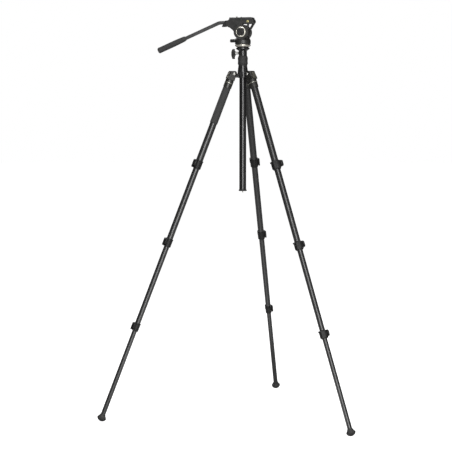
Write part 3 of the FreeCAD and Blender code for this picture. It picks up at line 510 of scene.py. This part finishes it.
def piece(name, shape, body, material, replaces=(), smooth=32.0):
    """Turns a shape in the row frame into a piece that rides on a body."""
    bmesh.ops.recalc_face_normals(shape, faces=shape.faces)
    limit = math.radians(smooth)
    for face in shape.faces:
        face.smooth = True
    for edge in shape.edges:
        edge.smooth = edge.is_manifold and edge.calc_face_angle(0.0) < limit
    mesh = bpy.data.meshes.new(name)
    shape.to_mesh(mesh)
    shape.free()
    made = bpy.data.objects.new(name, mesh)
    bpy.context.scene.collection.objects.link(made)
    mesh.materials.append(material)
    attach(made, body)
    if replaces:
        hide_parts(*replaces)
    return made


def dress(node, material):
    """Gives a CAD node its finished material."""
    slots = frame["nodes"][node].material_slots
    if not slots:
        frame["nodes"][node].data.materials.append(material)
    for slot in slots:
        slot.link = "OBJECT"
        slot.material = material


def thread(radius, pitch, depth, low, high, steps=32):
    """A screw thread about local Z, with eight rows of points to a turn."""
    rows = max(2, int((high - low) / pitch * 8))
    heights = [low + (high - low) * row / rows for row in range(rows + 1)]
    profile = [(0, low)] + [(radius - depth, height) for height in heights] + [(0, high)]

    def ripple(angle, reach, height):
        phase = (height / pitch - angle / math.tau) % 1.0
        fade = min(1.0, (high - height) / pitch, (height - low) / pitch)
        return depth * (1 - abs(2 * phase - 1)) * max(0.0, fade)

    return lathe(profile, steps, ripple)


# ---------------------------------------------------------------- legs
def squarish(x, y, half_width, half_height):
    """Points of a rounded box about a centre: an ellipse pushed out into its corners."""
    points = []
    steps = 20
    for step in range(steps):
        angle = math.tau * step / steps
        cos, sin = math.cos(angle), math.sin(angle)
        points.append((x + math.copysign(abs(cos) ** 0.45, cos) * half_width,
                       y + math.copysign(abs(sin) ** 0.22, sin) * half_height))
    return points


def flip_lever(leg, index, material):
    """Moulded lever: a hub on its pin, and a padded band round the collar with a thicker thumb end."""
    matrix = leg_matrix(leg)
    lever = f"{leg}_lever_{index + 1}"
    points = local_points(lever, matrix)
    inner = min(radial(point) for point in points if point.y < 0)
    low, high = height_range(lever, matrix)
    pin = matrix.inverted() @ joint_place(f"{leg}_flip_{index + 1}")
    outside = [point for point in points if radial(point) > radial(pin) + 2 * MM and point.y > pin.y]
    hub = max(radial(point - pin) for point in outside)
    hub_low, hub_high = pin.z + LEVER_HUB_LOW, pin.z + LEVER_HUB_HIGH
    start = math.degrees(math.atan2(pin.y, pin.x)) - 5.0
    sections = []
    steps = 30
    for step in range(steps + 1):
        share = step / steps
        angle = math.radians(start + (LEVER_END - start) * share)
        widen = min(1.0, max(0.0, (share - 0.2) / 0.12))
        widen = widen * widen * (3 - 2 * widen)
        closing = min(1.0, (1 - share) / 0.06 + 0.35)
        padding = 1.4 * math.sin(math.pi * min(1.0, share / 0.8))
        thumb = 2.6 * max(0.0, share - 0.78) / 0.22
        thick = (4.0 + padding + thumb) * MM * closing
        bottom = hub_low + (low - hub_low) * widen
        top = hub_high + (high - hub_high) * widen
        half_tall = (top - bottom) / 2 * (0.9 + 0.1 * closing)
        outline = squarish(inner + 0.1 * MM + thick / 2, (bottom + top) / 2, thick / 2, half_tall)
        sections.append([(reach * math.cos(angle), reach * math.sin(angle), height)
                         for reach, height in outline])
    profile = soften([(0, hub_low), (hub, hub_low), (hub, hub_high), (0, hub_high)], 0.9 * MM)
    knuckle = moved(lathe(profile, 40), Matrix.Translation((pin.x, pin.y, 0)))
    body = combined(loft(sections), knuckle)
    piece(f"{leg}_flip_lever_{index + 1}", moved(body, matrix), lever, material,
          replaces=[lever], smooth=40)


def rubber_foot(leg, material):
    """Rubber foot: a stepped flare over a round grooved tread, with the small flat that it stands on."""
    matrix = leg_matrix(leg)
    node = f"{leg}_foot"
    low, high = height_range(node, matrix)
    neck = tube_radius(3)
    bore = neck + 0.05 * MM
    socket = high - 8 * MM
    rim = max(radial(point) for point in local_points(node, matrix)) - 0.4 * MM
    edge = low + 17 * MM
    outline = [(0, low)]
    for step in range(1, 9):
        radius = rim * step / 8
        outline.append((radius, low + SOLE_RADIUS - math.sqrt(SOLE_RADIUS ** 2 - radius ** 2)))
    outline += [(rim, edge - 1.2 * MM), (rim - 0.9 * MM, edge), (rim - 2.0 * MM, edge + 0.6 * MM),
                (rim - 2.2 * MM, edge + 1.6 * MM), (neck + 3.4 * MM, edge + 6.4 * MM),
                (neck + 2.6 * MM, edge + 6.8 * MM), (neck + 2.4 * MM, edge + 7.8 * MM),
                (neck + 1.9 * MM, high - 2.6 * MM), (neck + 1.4 * MM, high - 0.6 * MM),
                (neck + 0.4 * MM, high), (bore, high), (bore, socket), (0, socket)]

    def grooves(angle, radius, height):
        if height > edge or radius < rim * 0.5:
            return 0.0
        return -0.35 * MM * (0.5 + 0.5 * math.cos(18 * angle)) ** 3

    shape = moved(lathe(soften(outline, 1.6 * MM), 144, grooves), matrix)
    for vertex in shape.verts:
        vertex.co.z = max(vertex.co.z, 0.0)
    piece(f"{leg}_rubber_foot", shape, f"{leg}_lowest", material, replaces=[node], smooth=38)


def trim_ring(leg, material):
    """Bright ring round the socket of the hinge casting."""
    inner = SOCKET_RADIUS - 0.2 * MM
    outer = SOCKET_RADIUS + 0.8 * MM
    outline = [(inner, TRIM_LOW), (outer - 0.7 * MM, TRIM_LOW), (outer, TRIM_LOW + 0.8 * MM),
               (outer, TRIM_HIGH - 0.8 * MM), (outer - 0.7 * MM, TRIM_HIGH), (inner, TRIM_HIGH)]
    ring = moved(lathe(outline, 96), leg_matrix(leg))
    piece(f"{leg}_trim_ring", ring, f"{leg}_upper", material)


def foam_sleeve(material):
    """Foam grip on the back leg, a little pinched and wavy as rolled foam is."""
    matrix = leg_matrix("back_leg")
    low, high = height_range("back_leg_grip_sleeve", matrix)
    outer = max(radial(point) for point in local_points("back_leg_grip_sleeve", matrix))
    inner = tube_radius(0) + 0.03 * MM
    rounding = 1.2 * MM
    straight = high - low - 2 * rounding
    rows = 48
    profile = [(inner, low), (outer - 0.9 * MM, low), (outer - 0.35 * MM, low + 0.35 * MM)]
    profile += [(outer, low + rounding + straight * row / rows) for row in range(rows + 1)]
    profile += [(outer - 0.35 * MM, high - 0.35 * MM), (outer - 0.9 * MM, high), (inner, high)]

    def sag(angle, radius, height):
        if radius < outer - 0.1 * MM:
            return 0.0
        return -0.08 * MM * (1 + math.sin(3 * angle + height * 90) * math.sin(height * 210 + 1.3))

    shape = moved(lathe(profile, 72, sag), matrix)
    made = piece("back_leg_foam_sleeve", shape, "back_leg_upper", material,
                 replaces=["back_leg_grip_sleeve"])


def hinge_bolts(material):
    """Button-head hinge bolts with a hexagon recess at both ends."""
    replaced = ["leg_pivot_bolts"]     # one node holds all three bolts, and the first head takes its place
    for leg in LEGS:
        bolt_matrix = along(joint_axis(f"{leg}_fold"), joint_place(f"{leg}_fold"))
        points = local_points("leg_pivot_bolts", bolt_matrix)
        near = [point for point in points if abs(point.z) < 30 * MM and radial(point) < 8 * MM]
        reach = max(point.z for point in near)
        head = max(radial(point) for point in near)
        seat, recess, clear = reach - 3.2 * MM, reach - 2.2 * MM, reach + 1 * MM
        for end, angle in (("outer", math.pi), ("inner", 0.0)):
            outline = [(0, seat), (head, seat), (head, reach - 1.6 * MM), (head * 0.6, reach), (0, reach)]
            button = lathe(soften(outline, 1.0 * MM), 48)
            hexagon = lathe([(0, recess), (2.6 * MM, recess), (2.6 * MM, clear), (0, clear)], 6)
            button = combined(button, hexagon, "DIFFERENCE")
            turned = bolt_matrix @ Matrix.Rotation(angle, 4, "X")
            piece(f"{leg}_bolt_head_{end}", moved(button, turned), "crown", material,
                  replaces=replaced)
            replaced = []


# ---------------------------------------------------------------- crown and column
def twist_ring(material):
    """Rubber-covered twist ring with a waist and long flutes."""
    low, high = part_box("column_lock_ring")
    bottom, top, outer = low.z, high.z, high.x
    foot, ledge = bottom + 0.1 * MM, top - 5.2 * MM
    outline = [(RING_SEAT, foot), (outer - 2.6 * MM, foot), (outer - 1.5 * MM, bottom + 4.6 * MM),
               (outer, bottom + 7.6 * MM), (outer - 0.9 * MM, (bottom + top) / 2), (outer, top - 10 * MM),
               (outer - 1.4 * MM, top - 3.6 * MM), (outer - 3.6 * MM, top), (RING_BORE, top),
               (RING_BORE, ledge), (RING_SEAT, ledge)]
    skin = RING_SEAT + 0.25 * MM
    rows = []
    for first, second in zip(outline, outline[1:]):
        parts = 4 if first[0] > skin and second[0] > skin else 1
        rows += [tuple(Vector(first).lerp(Vector(second), part / parts)) for part in range(parts)]
    rows.append(outline[-1])

    def flutes(angle, radius, height):
        if radius < RING_SEAT + 0.35 * MM:
            return 0.0
        fade = min(1.0, (height - bottom) / (7 * MM), (top - height) / (7 * MM))
        return -0.55 * MM * max(0.0, fade) * max(0.0, math.cos(22 * angle)) ** 2

    piece("column_twist_ring", lathe(rows, 264, flutes), "column_lock", material,
          replaces=["column_lock_ring"], smooth=45)


def end_cap(cap_material, staple_material):
    """Flared cap under the column and the bent steel staple for a weight."""
    low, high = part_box("column_hook")
    column_low, column_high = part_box("column_tube")
    rim, bottom, shoulder = high.x, CAP_BOTTOM, column_low.z
    outline = soften([(0, bottom), (rim - 0.4 * MM, bottom), (rim, bottom + 1.2 * MM), (rim, bottom + 3 * MM),
                      (column_high.x, shoulder), (0, shoulder)], 0.7 * MM)
    piece("column_end_cap", lathe(outline, 72), "column", cap_material,
          replaces=["column_hook"])
    root, bend = bottom + 1 * MM, low.z + STAPLE_WIRE
    corners = [(-STAPLE_HALF, root), (-STAPLE_HALF, bend), (STAPLE_HALF, bend), (STAPLE_HALF, root)]
    path = [Vector((0, y, z)) for y, z in soften(corners, 3.2 * MM, steps=8)]
    piece("weight_staple", sweep(path, STAPLE_WIRE, 20), "column", staple_material)


# ---------------------------------------------------------------- levelling base and knobs
def wing_knob(knob_material, stem_material):
    """Wing knob with its threaded steel stem."""
    middle = joint_place("level_knob_turn").z
    low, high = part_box("leveling_knob")
    tip, root = low.x, WING_ROOT
    shoulder, inner, waist = tip + 4.3 * MM, root + 2.3 * MM, root - 1.2 * MM
    half = 5.6 * MM
    outline = [(root, high.z), (shoulder, high.z), (tip, middle + 4 * MM), (tip, middle - 10 * MM),
               (shoulder, low.z), (root, low.z), (waist, middle - 15 * MM), (inner, middle - 9 * MM),
               (inner, middle + 6 * MM), (waist, middle + 10 * MM)]
    wing = prism(soften(outline, 4.5 * MM, closed=True, steps=6), -half, half, 1.6 * MM)
    hub_root = inner + 1 * MM
    length = hub_root - tip - 0.6 * MM
    hub = lathe(soften([(0, 0), (8.2 * MM, 0), (7.2 * MM, length), (0, length)], 1.6 * MM), 48)
    hub = moved(hub, along((-1, 0, 0), (hub_root, 0, middle)))
    piece("leveling_wing_knob", combined(wing, hub), "level_knob", knob_material,
          replaces=["leveling_knob"], smooth=40)
    stem = thread(5.9 * MM, 1.75 * MM, 0.22 * MM, 0, 16 * MM, 48)
    stem = moved(stem, along((-1, 0, 0), (-16.8 * MM, 0, middle)))
    piece("leveling_stem", stem, "level_knob", stem_material, smooth=60)


def ball_and_band(band_material, ball_material):
    """Bright levelling band with a fine groove over its rim, and the dark half ball under it."""
    low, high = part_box("leveling_half_ball")
    rim, top = high.x, high.z
    bore, bottom = 8.2 * MM, top - 12.6 * MM
    outline = [(bore, bottom), (BALL_HIGH_RADIUS + 0.1 * MM, bottom), (rim - 0.4 * MM, top - 6.9 * MM),
               (rim, top - 6.2 * MM), (rim, top - 5.4 * MM), (rim - 0.5 * MM, top - 5.1 * MM),
               (rim - 0.4 * MM, top - 4.7 * MM), (29.9 * MM, top - 1.2 * MM), (29.0 * MM, top), (bore, top)]
    piece("leveling_band", lathe(outline, 144), "level_ball", band_material,
          replaces=["leveling_half_ball"], smooth=28)
    centre = joint_place("level_roll").z
    stub, flat = 3 * MM, centre - 19.5 * MM
    profile = [(0, low.z), (stub, low.z), (stub, flat), (BALL_LOW_RADIUS, flat)]
    first, last = math.acos(BALL_LOW_RADIUS / BALL_RADIUS), math.acos(BALL_HIGH_RADIUS / BALL_RADIUS)
    for step in range(1, 9):
        angle = first + (last - first) * step / 8
        profile.append((BALL_RADIUS * math.cos(angle), centre - BALL_RADIUS * math.sin(angle)))
    profile.append((0, centre - BALL_RADIUS * math.sin(last)))
    piece("leveling_ball", lathe(profile, 96), "level_ball", ball_material)


def pan_knob(knob_material, stem_material):
    """Fluted pan lock knob on its screw."""
    middle = joint_place("pan_lock_turn").z
    low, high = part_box("pan_lock_knob")
    radius = (high.z - low.z) / 2
    length = KNOB_ROOT - low.x
    rows = [(0, 0), (radius * 0.7, 0), (radius - 0.7 * MM, 0.5 * MM), (radius, 1.6 * MM)]
    rows += [(radius, 1.6 * MM + (length - 4 * MM) * row / 8) for row in range(1, 9)]
    rows += [(radius - 1.1 * MM, length - 0.7 * MM), (radius * 0.6, length), (0, length)]

    def flutes(angle, reach, height):
        if reach < radius - 0.2 * MM:
            return 0.0
        return -0.6 * MM * (0.5 - 0.5 * math.cos(14 * angle)) ** 2

    knob = moved(lathe(rows, 168, flutes), along((-1, 0, 0), (KNOB_ROOT, 0, middle)))
    piece("pan_lock_grip", knob, "pan_lock", knob_material,
          replaces=["pan_lock_knob"], smooth=45)
    stem = thread(3.9 * MM, 1.25 * MM, 0.5 * MM, 0, 6 * MM)
    stem = moved(stem, along((-1, 0, 0), (-30.5 * MM, 0, middle)))
    piece("pan_lock_stem", stem, "pan_lock", stem_material, smooth=60)


# ---------------------------------------------------------------- head
def rectangle(x, z, half_width, half_height):
    """Corners of a rectangle about a centre."""
    return [(x - half_width, z - half_height), (x + half_width, z - half_height),
            (x + half_width, z + half_height), (x - half_width, z + half_height)]


def dial_outline(half, corner):
    """A square with cut corners, seen along the dial's axis."""
    cut = half - corner
    return [(half, -cut), (half, cut), (cut, half), (-cut, half), (-half, cut), (-half, -cut), (-cut, -half),
            (cut, -half)]


def drag_dial(ring_material, knob_material):
    """Bright bevelled ring and the eight-sided ribbed dial in it."""
    centre = joint_place("drag_dial_turn")
    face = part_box("drag_dial")[0].y
    back = face + DIAL_DEPTH
    profile = [(0, 0), (DIAL_RADIUS, 0), (DIAL_RADIUS, 2.0 * MM), (DIAL_RADIUS - 2.6 * MM, DIAL_DEPTH),
               (0, DIAL_DEPTH)]
    ring = moved(lathe(soften(profile, 0.4 * MM), 144), along((0, -1, 0), (centre.x, back, centre.z)))
    rounded = soften(dial_outline(DIAL_OPENING, DIAL_CORNER), 1.6 * MM, closed=True)
    opening = [(centre.x + x, centre.z + z) for x, z in rounded]
    hole = prism(opening, face - 5 * MM, back + 5 * MM)
    piece("drag_dial_ring", combined(ring, hole, "DIFFERENCE"), "drag_dial", ring_material,
          replaces=["drag_dial"])
    smaller = [(centre.x + x * 0.97, centre.z + z * 0.97) for x, z in rounded]
    knob = prism(smaller, face + 1.5 * MM, back, 0.4 * MM)
    for number in range(-3, 4):
        half = (DIAL_OPENING if abs(number) < 3 else DIAL_OPENING - 4.6 * MM) - 1.4 * MM
        rib = rectangle(centre.x, centre.z + number * 3.5 * MM, half, 0.85 * MM)
        knob = combined(knob, prism(rib, face + 0.3 * MM, face + 2.5 * MM, 0.35 * MM))
    piece("drag_dial_knob", knob, "drag_dial", knob_material)


def camera_stub(material):
    """Quarter-inch camera screw with its thread of twenty turns to the inch, and its round head."""
    low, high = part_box("camera_screw")
    base = Vector(((low.x + high.x) / 2, (low.y + high.y) / 2, 0))
    inch = 25.4 * MM
    width, top = 7.8 * MM, low.z + 4 * MM
    head = soften([(0, low.z), (width, low.z), (width, top), (0, top)], 0.5 * MM)
    screw = thread(inch / 8, inch / 20, 0.45 * MM, low.z + 3 * MM, high.z)
    body = moved(combined(lathe(head, 64), screw), Matrix.Translation(base))
    piece("camera_screw_threaded", body, "camera_screw", material,
          replaces=["camera_screw"], smooth=60)


def plate_pads(material):
    """Two ribbed rubber strips let into the top of the sliding plate."""
    low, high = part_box("quick_release_plate")
    bottom, top = PLATE_TOP - 0.4 * MM, PLATE_TOP + 0.7 * MM
    gap_start, gap_end = -34 * MM, 0.5 * MM      # left clear for the camera screw and the register pin
    half, margin = 1.7 * MM, 4 * MM
    for number, (start, end) in enumerate(((low.x + margin, gap_start), (gap_end, high.x - margin))):
        shape = bmesh.new()
        for row in range(-4, 5):
            y = row * 4.6 * MM
            outline = [(start, bottom), (end, bottom), (end, top), (start, top)]
            shape = appended(shape, prism(outline, y - half, y + half, 0.35 * MM, 2))
        piece(f"plate_pad_{number + 1}", shape, "plate", material)


def deck_details(brass, glass, frame_material):
    """Threaded insert and bubble level on the right side of the deck."""
    bore, flange, back = 2.65 * MM, 4.6 * MM, -0.6 * MM
    outline = soften([(bore, back), (flange, back), (flange, 0.4 * MM), (flange - 0.9 * MM, 0.7 * MM),
                      (bore, 0.7 * MM)], 0.2 * MM)
    x, z = INSERT_PLACE
    insert = moved(lathe(outline, 64), along((0, -1, 0), (x, DECK_SIDE, z)))
    piece("accessory_insert", insert, "tilt", brass)
    inside = DECK_SIDE + 1 * MM
    window = soften(rectangle(*LEVEL_PLACE, 2.5 * MM, 1.2 * MM), 1.15 * MM, closed=True, steps=6)
    pane = prism(window, DECK_SIDE - 0.55 * MM, inside, 0.25 * MM)
    piece("level_window", pane, "tilt", glass)
    rim = soften(rectangle(*LEVEL_PLACE, 3.7 * MM, 2.3 * MM), 2.2 * MM, closed=True, steps=6)
    bezel = prism(rim, DECK_SIDE - 0.4 * MM, inside, 0.3 * MM)
    hole = prism(window, DECK_SIDE - 3 * MM, DECK_SIDE + 3 * MM)
    piece("level_bezel", combined(bezel, hole, "DIFFERENCE"), "tilt", frame_material)


def handle(bar_material, grip_material):
    """Bent bar with its rosette, and the moulded grip."""
    root = joint_place("handle_swing")
    setback = HANDLE_BEND_RADIUS * math.tan(HANDLE_SLOPE / 2)
    down = Vector((-math.cos(HANDLE_SLOPE), 0, -math.sin(HANDLE_SLOPE)))
    corner = Vector((HANDLE_BEND_X, root.y, root.z))
    bend_start = corner + Vector((setback, 0, 0))
    bend_centre = bend_start - Vector((0, 0, HANDLE_BEND_RADIUS))
    path = [root, (root + bend_start) / 2]
    for step in range(13):
        angle = HANDLE_SLOPE * step / 12
        path.append(bend_centre + HANDLE_BEND_RADIUS * Vector((-math.sin(angle), 0, math.cos(angle))))
    for share in (0.25, 0.5, 0.75, 1.0):
        path.append(corner + down * (setback + (GRIP_START + 6 * MM - setback) * share))
    face, hub = HANDLE_RADIUS, 8.5 * MM
    rosette = lathe(soften([(0, -face), (hub, -face), (hub, face), (0, face)], 1.0 * MM), 64)
    bar = combined(sweep(path, HANDLE_RADIUS, 40), moved(rosette, along((0, 1, 0), root)))
    piece("handle_bar", bar, "handle", bar_material, replaces=["pan_handle"], smooth=40)
    length = GRIP_END - GRIP_START

    def taper(place):
        """Radius of the grip, which thickens toward its end."""
        share = min(1.0, place / (60 * MM))
        return GRIP_RADIUS - 0.15 * MM - 1.9 * MM * (1 - share) ** 2

    profile = [(0, 0), (HANDLE_RADIUS + 1.4 * MM, 0), (HANDLE_RADIUS + 2.0 * MM, 1.2 * MM),
               (taper(8 * MM), 8 * MM)]
    margin = 12 * MM
    rows = 40
    for row in range(rows + 1):
        place = margin + (length - 2 * margin) * row / rows
        profile.append((taper(place), place))
    profile += [(GRIP_RADIUS, length - 9 * MM), (GRIP_RADIUS, length - 4.5 * MM),
                (GRIP_RADIUS - 0.9 * MM, length - 2 * MM), (GRIP_RADIUS - 2.6 * MM, length - 0.5 * MM),
                (GRIP_RADIUS - 5.2 * MM, length), (0, length)]

    def ribs(angle, radius, place):
        from_end = min(place, length - place)
        fade = min(1.0, max(0.0, (from_end - 14 * MM) / (6 * MM)))
        return -0.35 * MM * fade * (0.5 + 0.5 * math.cos(16 * angle)) ** 2

    grip = moved(lathe(profile, 128, ribs), along(down, corner + down * GRIP_START))
    made = piece("handle_grip", grip, "handle", grip_material, smooth=40)


def clamp_fin(material):
    """Fin-shaped lever with its round hub and bolt cap."""
    centre = joint_place("handle_clamp_swing")
    x, z = centre.x, centre.z
    outline = [(x - 15.4 * MM, z - 16.6 * MM), (x - 13.4 * MM, z - 18.0 * MM), (x + 4.8 * MM, z - 17.9 * MM),
               (x + 4.4 * MM, z - 2 * MM), (x - 5.6 * MM, z + 2.8 * MM)]
    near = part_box("handle_clamp_lever")[0].y
    thick, width, height = 4.4 * MM, 6.9 * MM, 6.1 * MM
    fin_near = near + 0.7 * MM
    fin = prism(soften(outline, 2.0 * MM, closed=True), fin_near, fin_near + thick, 0.9 * MM)
    profile = soften([(0, 0), (width, 0), (width, thick), (5.2 * MM, height), (0, height)], 0.8 * MM)
    hub = moved(lathe(profile, 56), along((0, -1, 0), (x, near + height + 0.1 * MM, z)))
    piece("handle_clamp_fin", combined(fin, hub), "handle_clamp", material,
          replaces=["handle_clamp_lever"], smooth=40)


# ---------------------------------------------------------------- studio
def studio():
    """Camera at the photograph's angle, a pale floor, white surroundings and soft panels of light."""
    scene = bpy.context.scene
    right = Vector((math.cos(CAMERA_AZIMUTH), math.sin(CAMERA_AZIMUTH), 0))
    ahead = Vector((-math.sin(CAMERA_AZIMUTH), math.cos(CAMERA_AZIMUTH), 0))
    data = bpy.data.cameras.new("camera")
    data.lens = CAMERA_LENS
    data.clip_end = 100
    camera = bpy.data.objects.new("camera", data)
    camera.location = right * CAMERA_SIDESTEP - ahead * CAMERA_DISTANCE + Vector((0, 0, CAMERA_HEIGHT))
    camera.rotation_euler = (math.pi / 2 - CAMERA_DROP, 0, CAMERA_AZIMUTH)
    scene.collection.objects.link(camera)
    scene.camera = camera
    scene.view_settings.view_transform = "Standard"

    floor = round_sheet("floor", FLOOR_RADIUS, pale_floor())
    floor.location.z = -FLOOR_GAP
    floor.visible_diffuse = False

    world = bpy.data.worlds.new("studio")
    scene.world = world
    world.use_nodes = True
    nodes, links = world.node_tree.nodes, world.node_tree.links
    background = nodes["Background"]
    path = nodes.new("ShaderNodeLightPath")
    bright = nodes.new("ShaderNodeMapRange")
    bright.inputs["To Min"].default_value = WORLD_LIGHT
    bright.inputs["To Max"].default_value = 1.0
    links.new(path.outputs["Is Camera Ray"], bright.inputs["Value"])
    links.new(bright.outputs[0], background.inputs["Strength"])
    background.inputs["Color"].default_value = (1, 1, 1, 1)

    middle = Vector((0, 0, LAMP_TARGET))

    def panel(name, away, turn, height, width, tall, power, lying=False):
        """A soft panel, so many degrees right of the camera. It faces the object, or lies face up."""
        lamp = bpy.data.lights.new(name, "AREA")
        lamp.shape = "RECTANGLE"
        lamp.size, lamp.size_y = width, tall
        lamp.energy = power
        made = bpy.data.objects.new(name, lamp)
        angle = math.radians(turn)
        made.location = (right * math.sin(angle) - ahead * math.cos(angle)) * away + Vector((0, 0, height))
        facing = (middle - made.location).to_track_quat("-Z", "Y").to_euler()
        made.rotation_euler = (math.pi, 0, CAMERA_AZIMUTH) if lying else facing
        made.visible_camera = False
        scene.collection.objects.link(made)

    # Distance, degrees, height, width and length in metres, and watts.
    panel("key", 4.2, 4, 1.9, 1.5, 3.2, 190)
    panel("side", 3.6, 62, 1.6, 0.7, 2.6, 6)
    panel("fill", 3.8, -58, 1.5, 0.7, 2.6, 3)
    panel("low", 3.0, 10, 0.25, 1.6, 0.4, 12)
    panel("top", 0.6, 0, 4.2, 1.8, 1.8, 55)
    panel("back", 3.2, 172, 3.4, 1.6, 1.6, 60)
    panel("back_left", 3.2, -140, 3.4, 1.4, 1.4, 12)
    panel("bounce", 0.27, 22, 0.01, 0.2, 1.0, 1.8, lying=True)


def pale_floor():
    """Pale studio floor with a barely visible grain."""
    shader = Shader("pale_floor")
    grain = shader.noise(1.5, 3.0)
    colour = shader.mix(grain, grey(0.5), grey(0.56))
    rough = shader.spread(grain, 0.3, 0.7, 0.8, 0.9)
    shader.surface.inputs["Emission Color"].default_value = (1, 1, 1, 1)
    seen = shader.node("ShaderNodeLightPath").outputs["Is Camera Ray"]
    shader.put(shader.spread(seen, 0.0, 1.0, 0.1, 1.0), shader.surface.inputs["Emission Strength"])
    return shader.finish(colour, rough, specular=0.1)


def round_sheet(name, radius, material):
    """A large round sheet that isn't part of the object."""
    shape = bmesh.new()
    bmesh.ops.create_circle(shape, cap_ends=True, radius=radius, segments=128)
    mesh = bpy.data.meshes.new(name)
    shape.to_mesh(mesh)
    shape.free()
    mesh.materials.append(material)
    made = bpy.data.objects.new(name, mesh)
    bpy.context.scene.collection.objects.link(made)
    return made


# ---------------------------------------------------------------- the whole object
def main():
    studio()
    casting = painted("casting_black", 0.011, 0.44, grain=0.9, depth=0.006, coat=0.08, warmth=0.1, wear=0.07,
                      uneven=0.03)
    head = painted("head_black", 0.011, 0.46, grain=0.35, depth=0.012, warmth=0.05, wear=0.07)
    gloss = painted("gloss_black", 0.01, 0.3, grain=0.3, depth=0.004, wear=0.06, uneven=0.03)
    lock_grey = painted("lock_grey", 0.16, 0.27, grain=0.6, depth=0.006, coat=0.3, warmth=0.1, metallic=0.6)
    column = painted("column_black", 0.01, 0.2, grain=0.2, depth=0.001, wear=0.05, uneven=0.015, rounding=0.0)
    plate = painted("plate_black", 0.028, 0.42, grain=0.3, depth=0.01)
    bar = painted("handle_grey_paint", 0.042, 0.5, grain=0.4, depth=0.02)
    plastic = moulded("moulded_black", 0.012, 0.52, specular=0.2)
    knob = moulded("knob_black", 0.018, 0.48, cell=0.5)
    foot = rubber("foot_rubber", 0.036, dust=0.3)
    ring = rubber("ring_rubber", 0.026, 0.6, depth=0.03, dust=0.06)
    foam = rubber("foam_grip", 0.046, 0.85, cell=0.35, depth=0.08, dust=0.05)
    grip = rubber("handle_rubber", 0.044, 0.7, cell=0.5, depth=0.04, dust=0.06)
    silver = turned_metal("band_silver", (0.6, 0.58, 0.52, 1.0), 0.4, 2, stain=0.1)
    dial = turned_metal("dial_silver", (0.88, 0.86, 0.76, 1.0), 0.5, 1, stain=0.2)
    steel = turned_metal("bolt_steel", (0.55, 0.55, 0.52, 1.0), 0.36, 2, stain=0.3)
    trim = turned_metal("trim_steel", (0.42, 0.42, 0.36, 1.0), 0.34, 2, stain=0.3)
    stem = turned_metal("stem_steel", (0.4, 0.4, 0.39, 1.0), 0.4, 0, stain=0.3)
    brass = turned_metal("brass", (0.66, 0.6, 0.3, 1.0), 0.5, 1, stain=0.3)

    for leg in LEGS:
        dress(f"{leg}_hinge_casting", casting)
        dress(f"{leg}_angle_lock", lock_grey)
        trim_ring(leg, trim)
        rubber_foot(leg, foot)
        for index in range(4):
            dress(f"{leg}_tube_{index + 1}", carbon_weave(leg, index))
        for index in range(3):
            dress(f"{leg}_collar_{index + 1}", plastic)
            flip_lever(leg, index, plastic)
    foam_sleeve(foam)
    hinge_bolts(steel)

    dress("spider_casting", gloss)
    dress("column_tube", column)
    twist_ring(ring)
    end_cap(knob, steel)

    dress("leveling_cup", gloss)
    ball_and_band(silver, head)
    dress("leveling_clamp_pad", steel)
    wing_knob(knob, stem)
    dress("pan_housing", head)
    pan_knob(knob, stem)
    dress("tilt_shaft", steel)
    dress("tilt_platform", head)
    drag_dial(dial, knob)
    dress("tilt_lock_lever", knob)
    dress("plate_lock_lever", knob)
    dress("quick_release_plate", plate)
    plate_pads(grip)
    camera_stub(steel)
    deck_details(brass, vial_green(), knob)
    handle(bar, grip)
    clamp_fin(knob)


main()
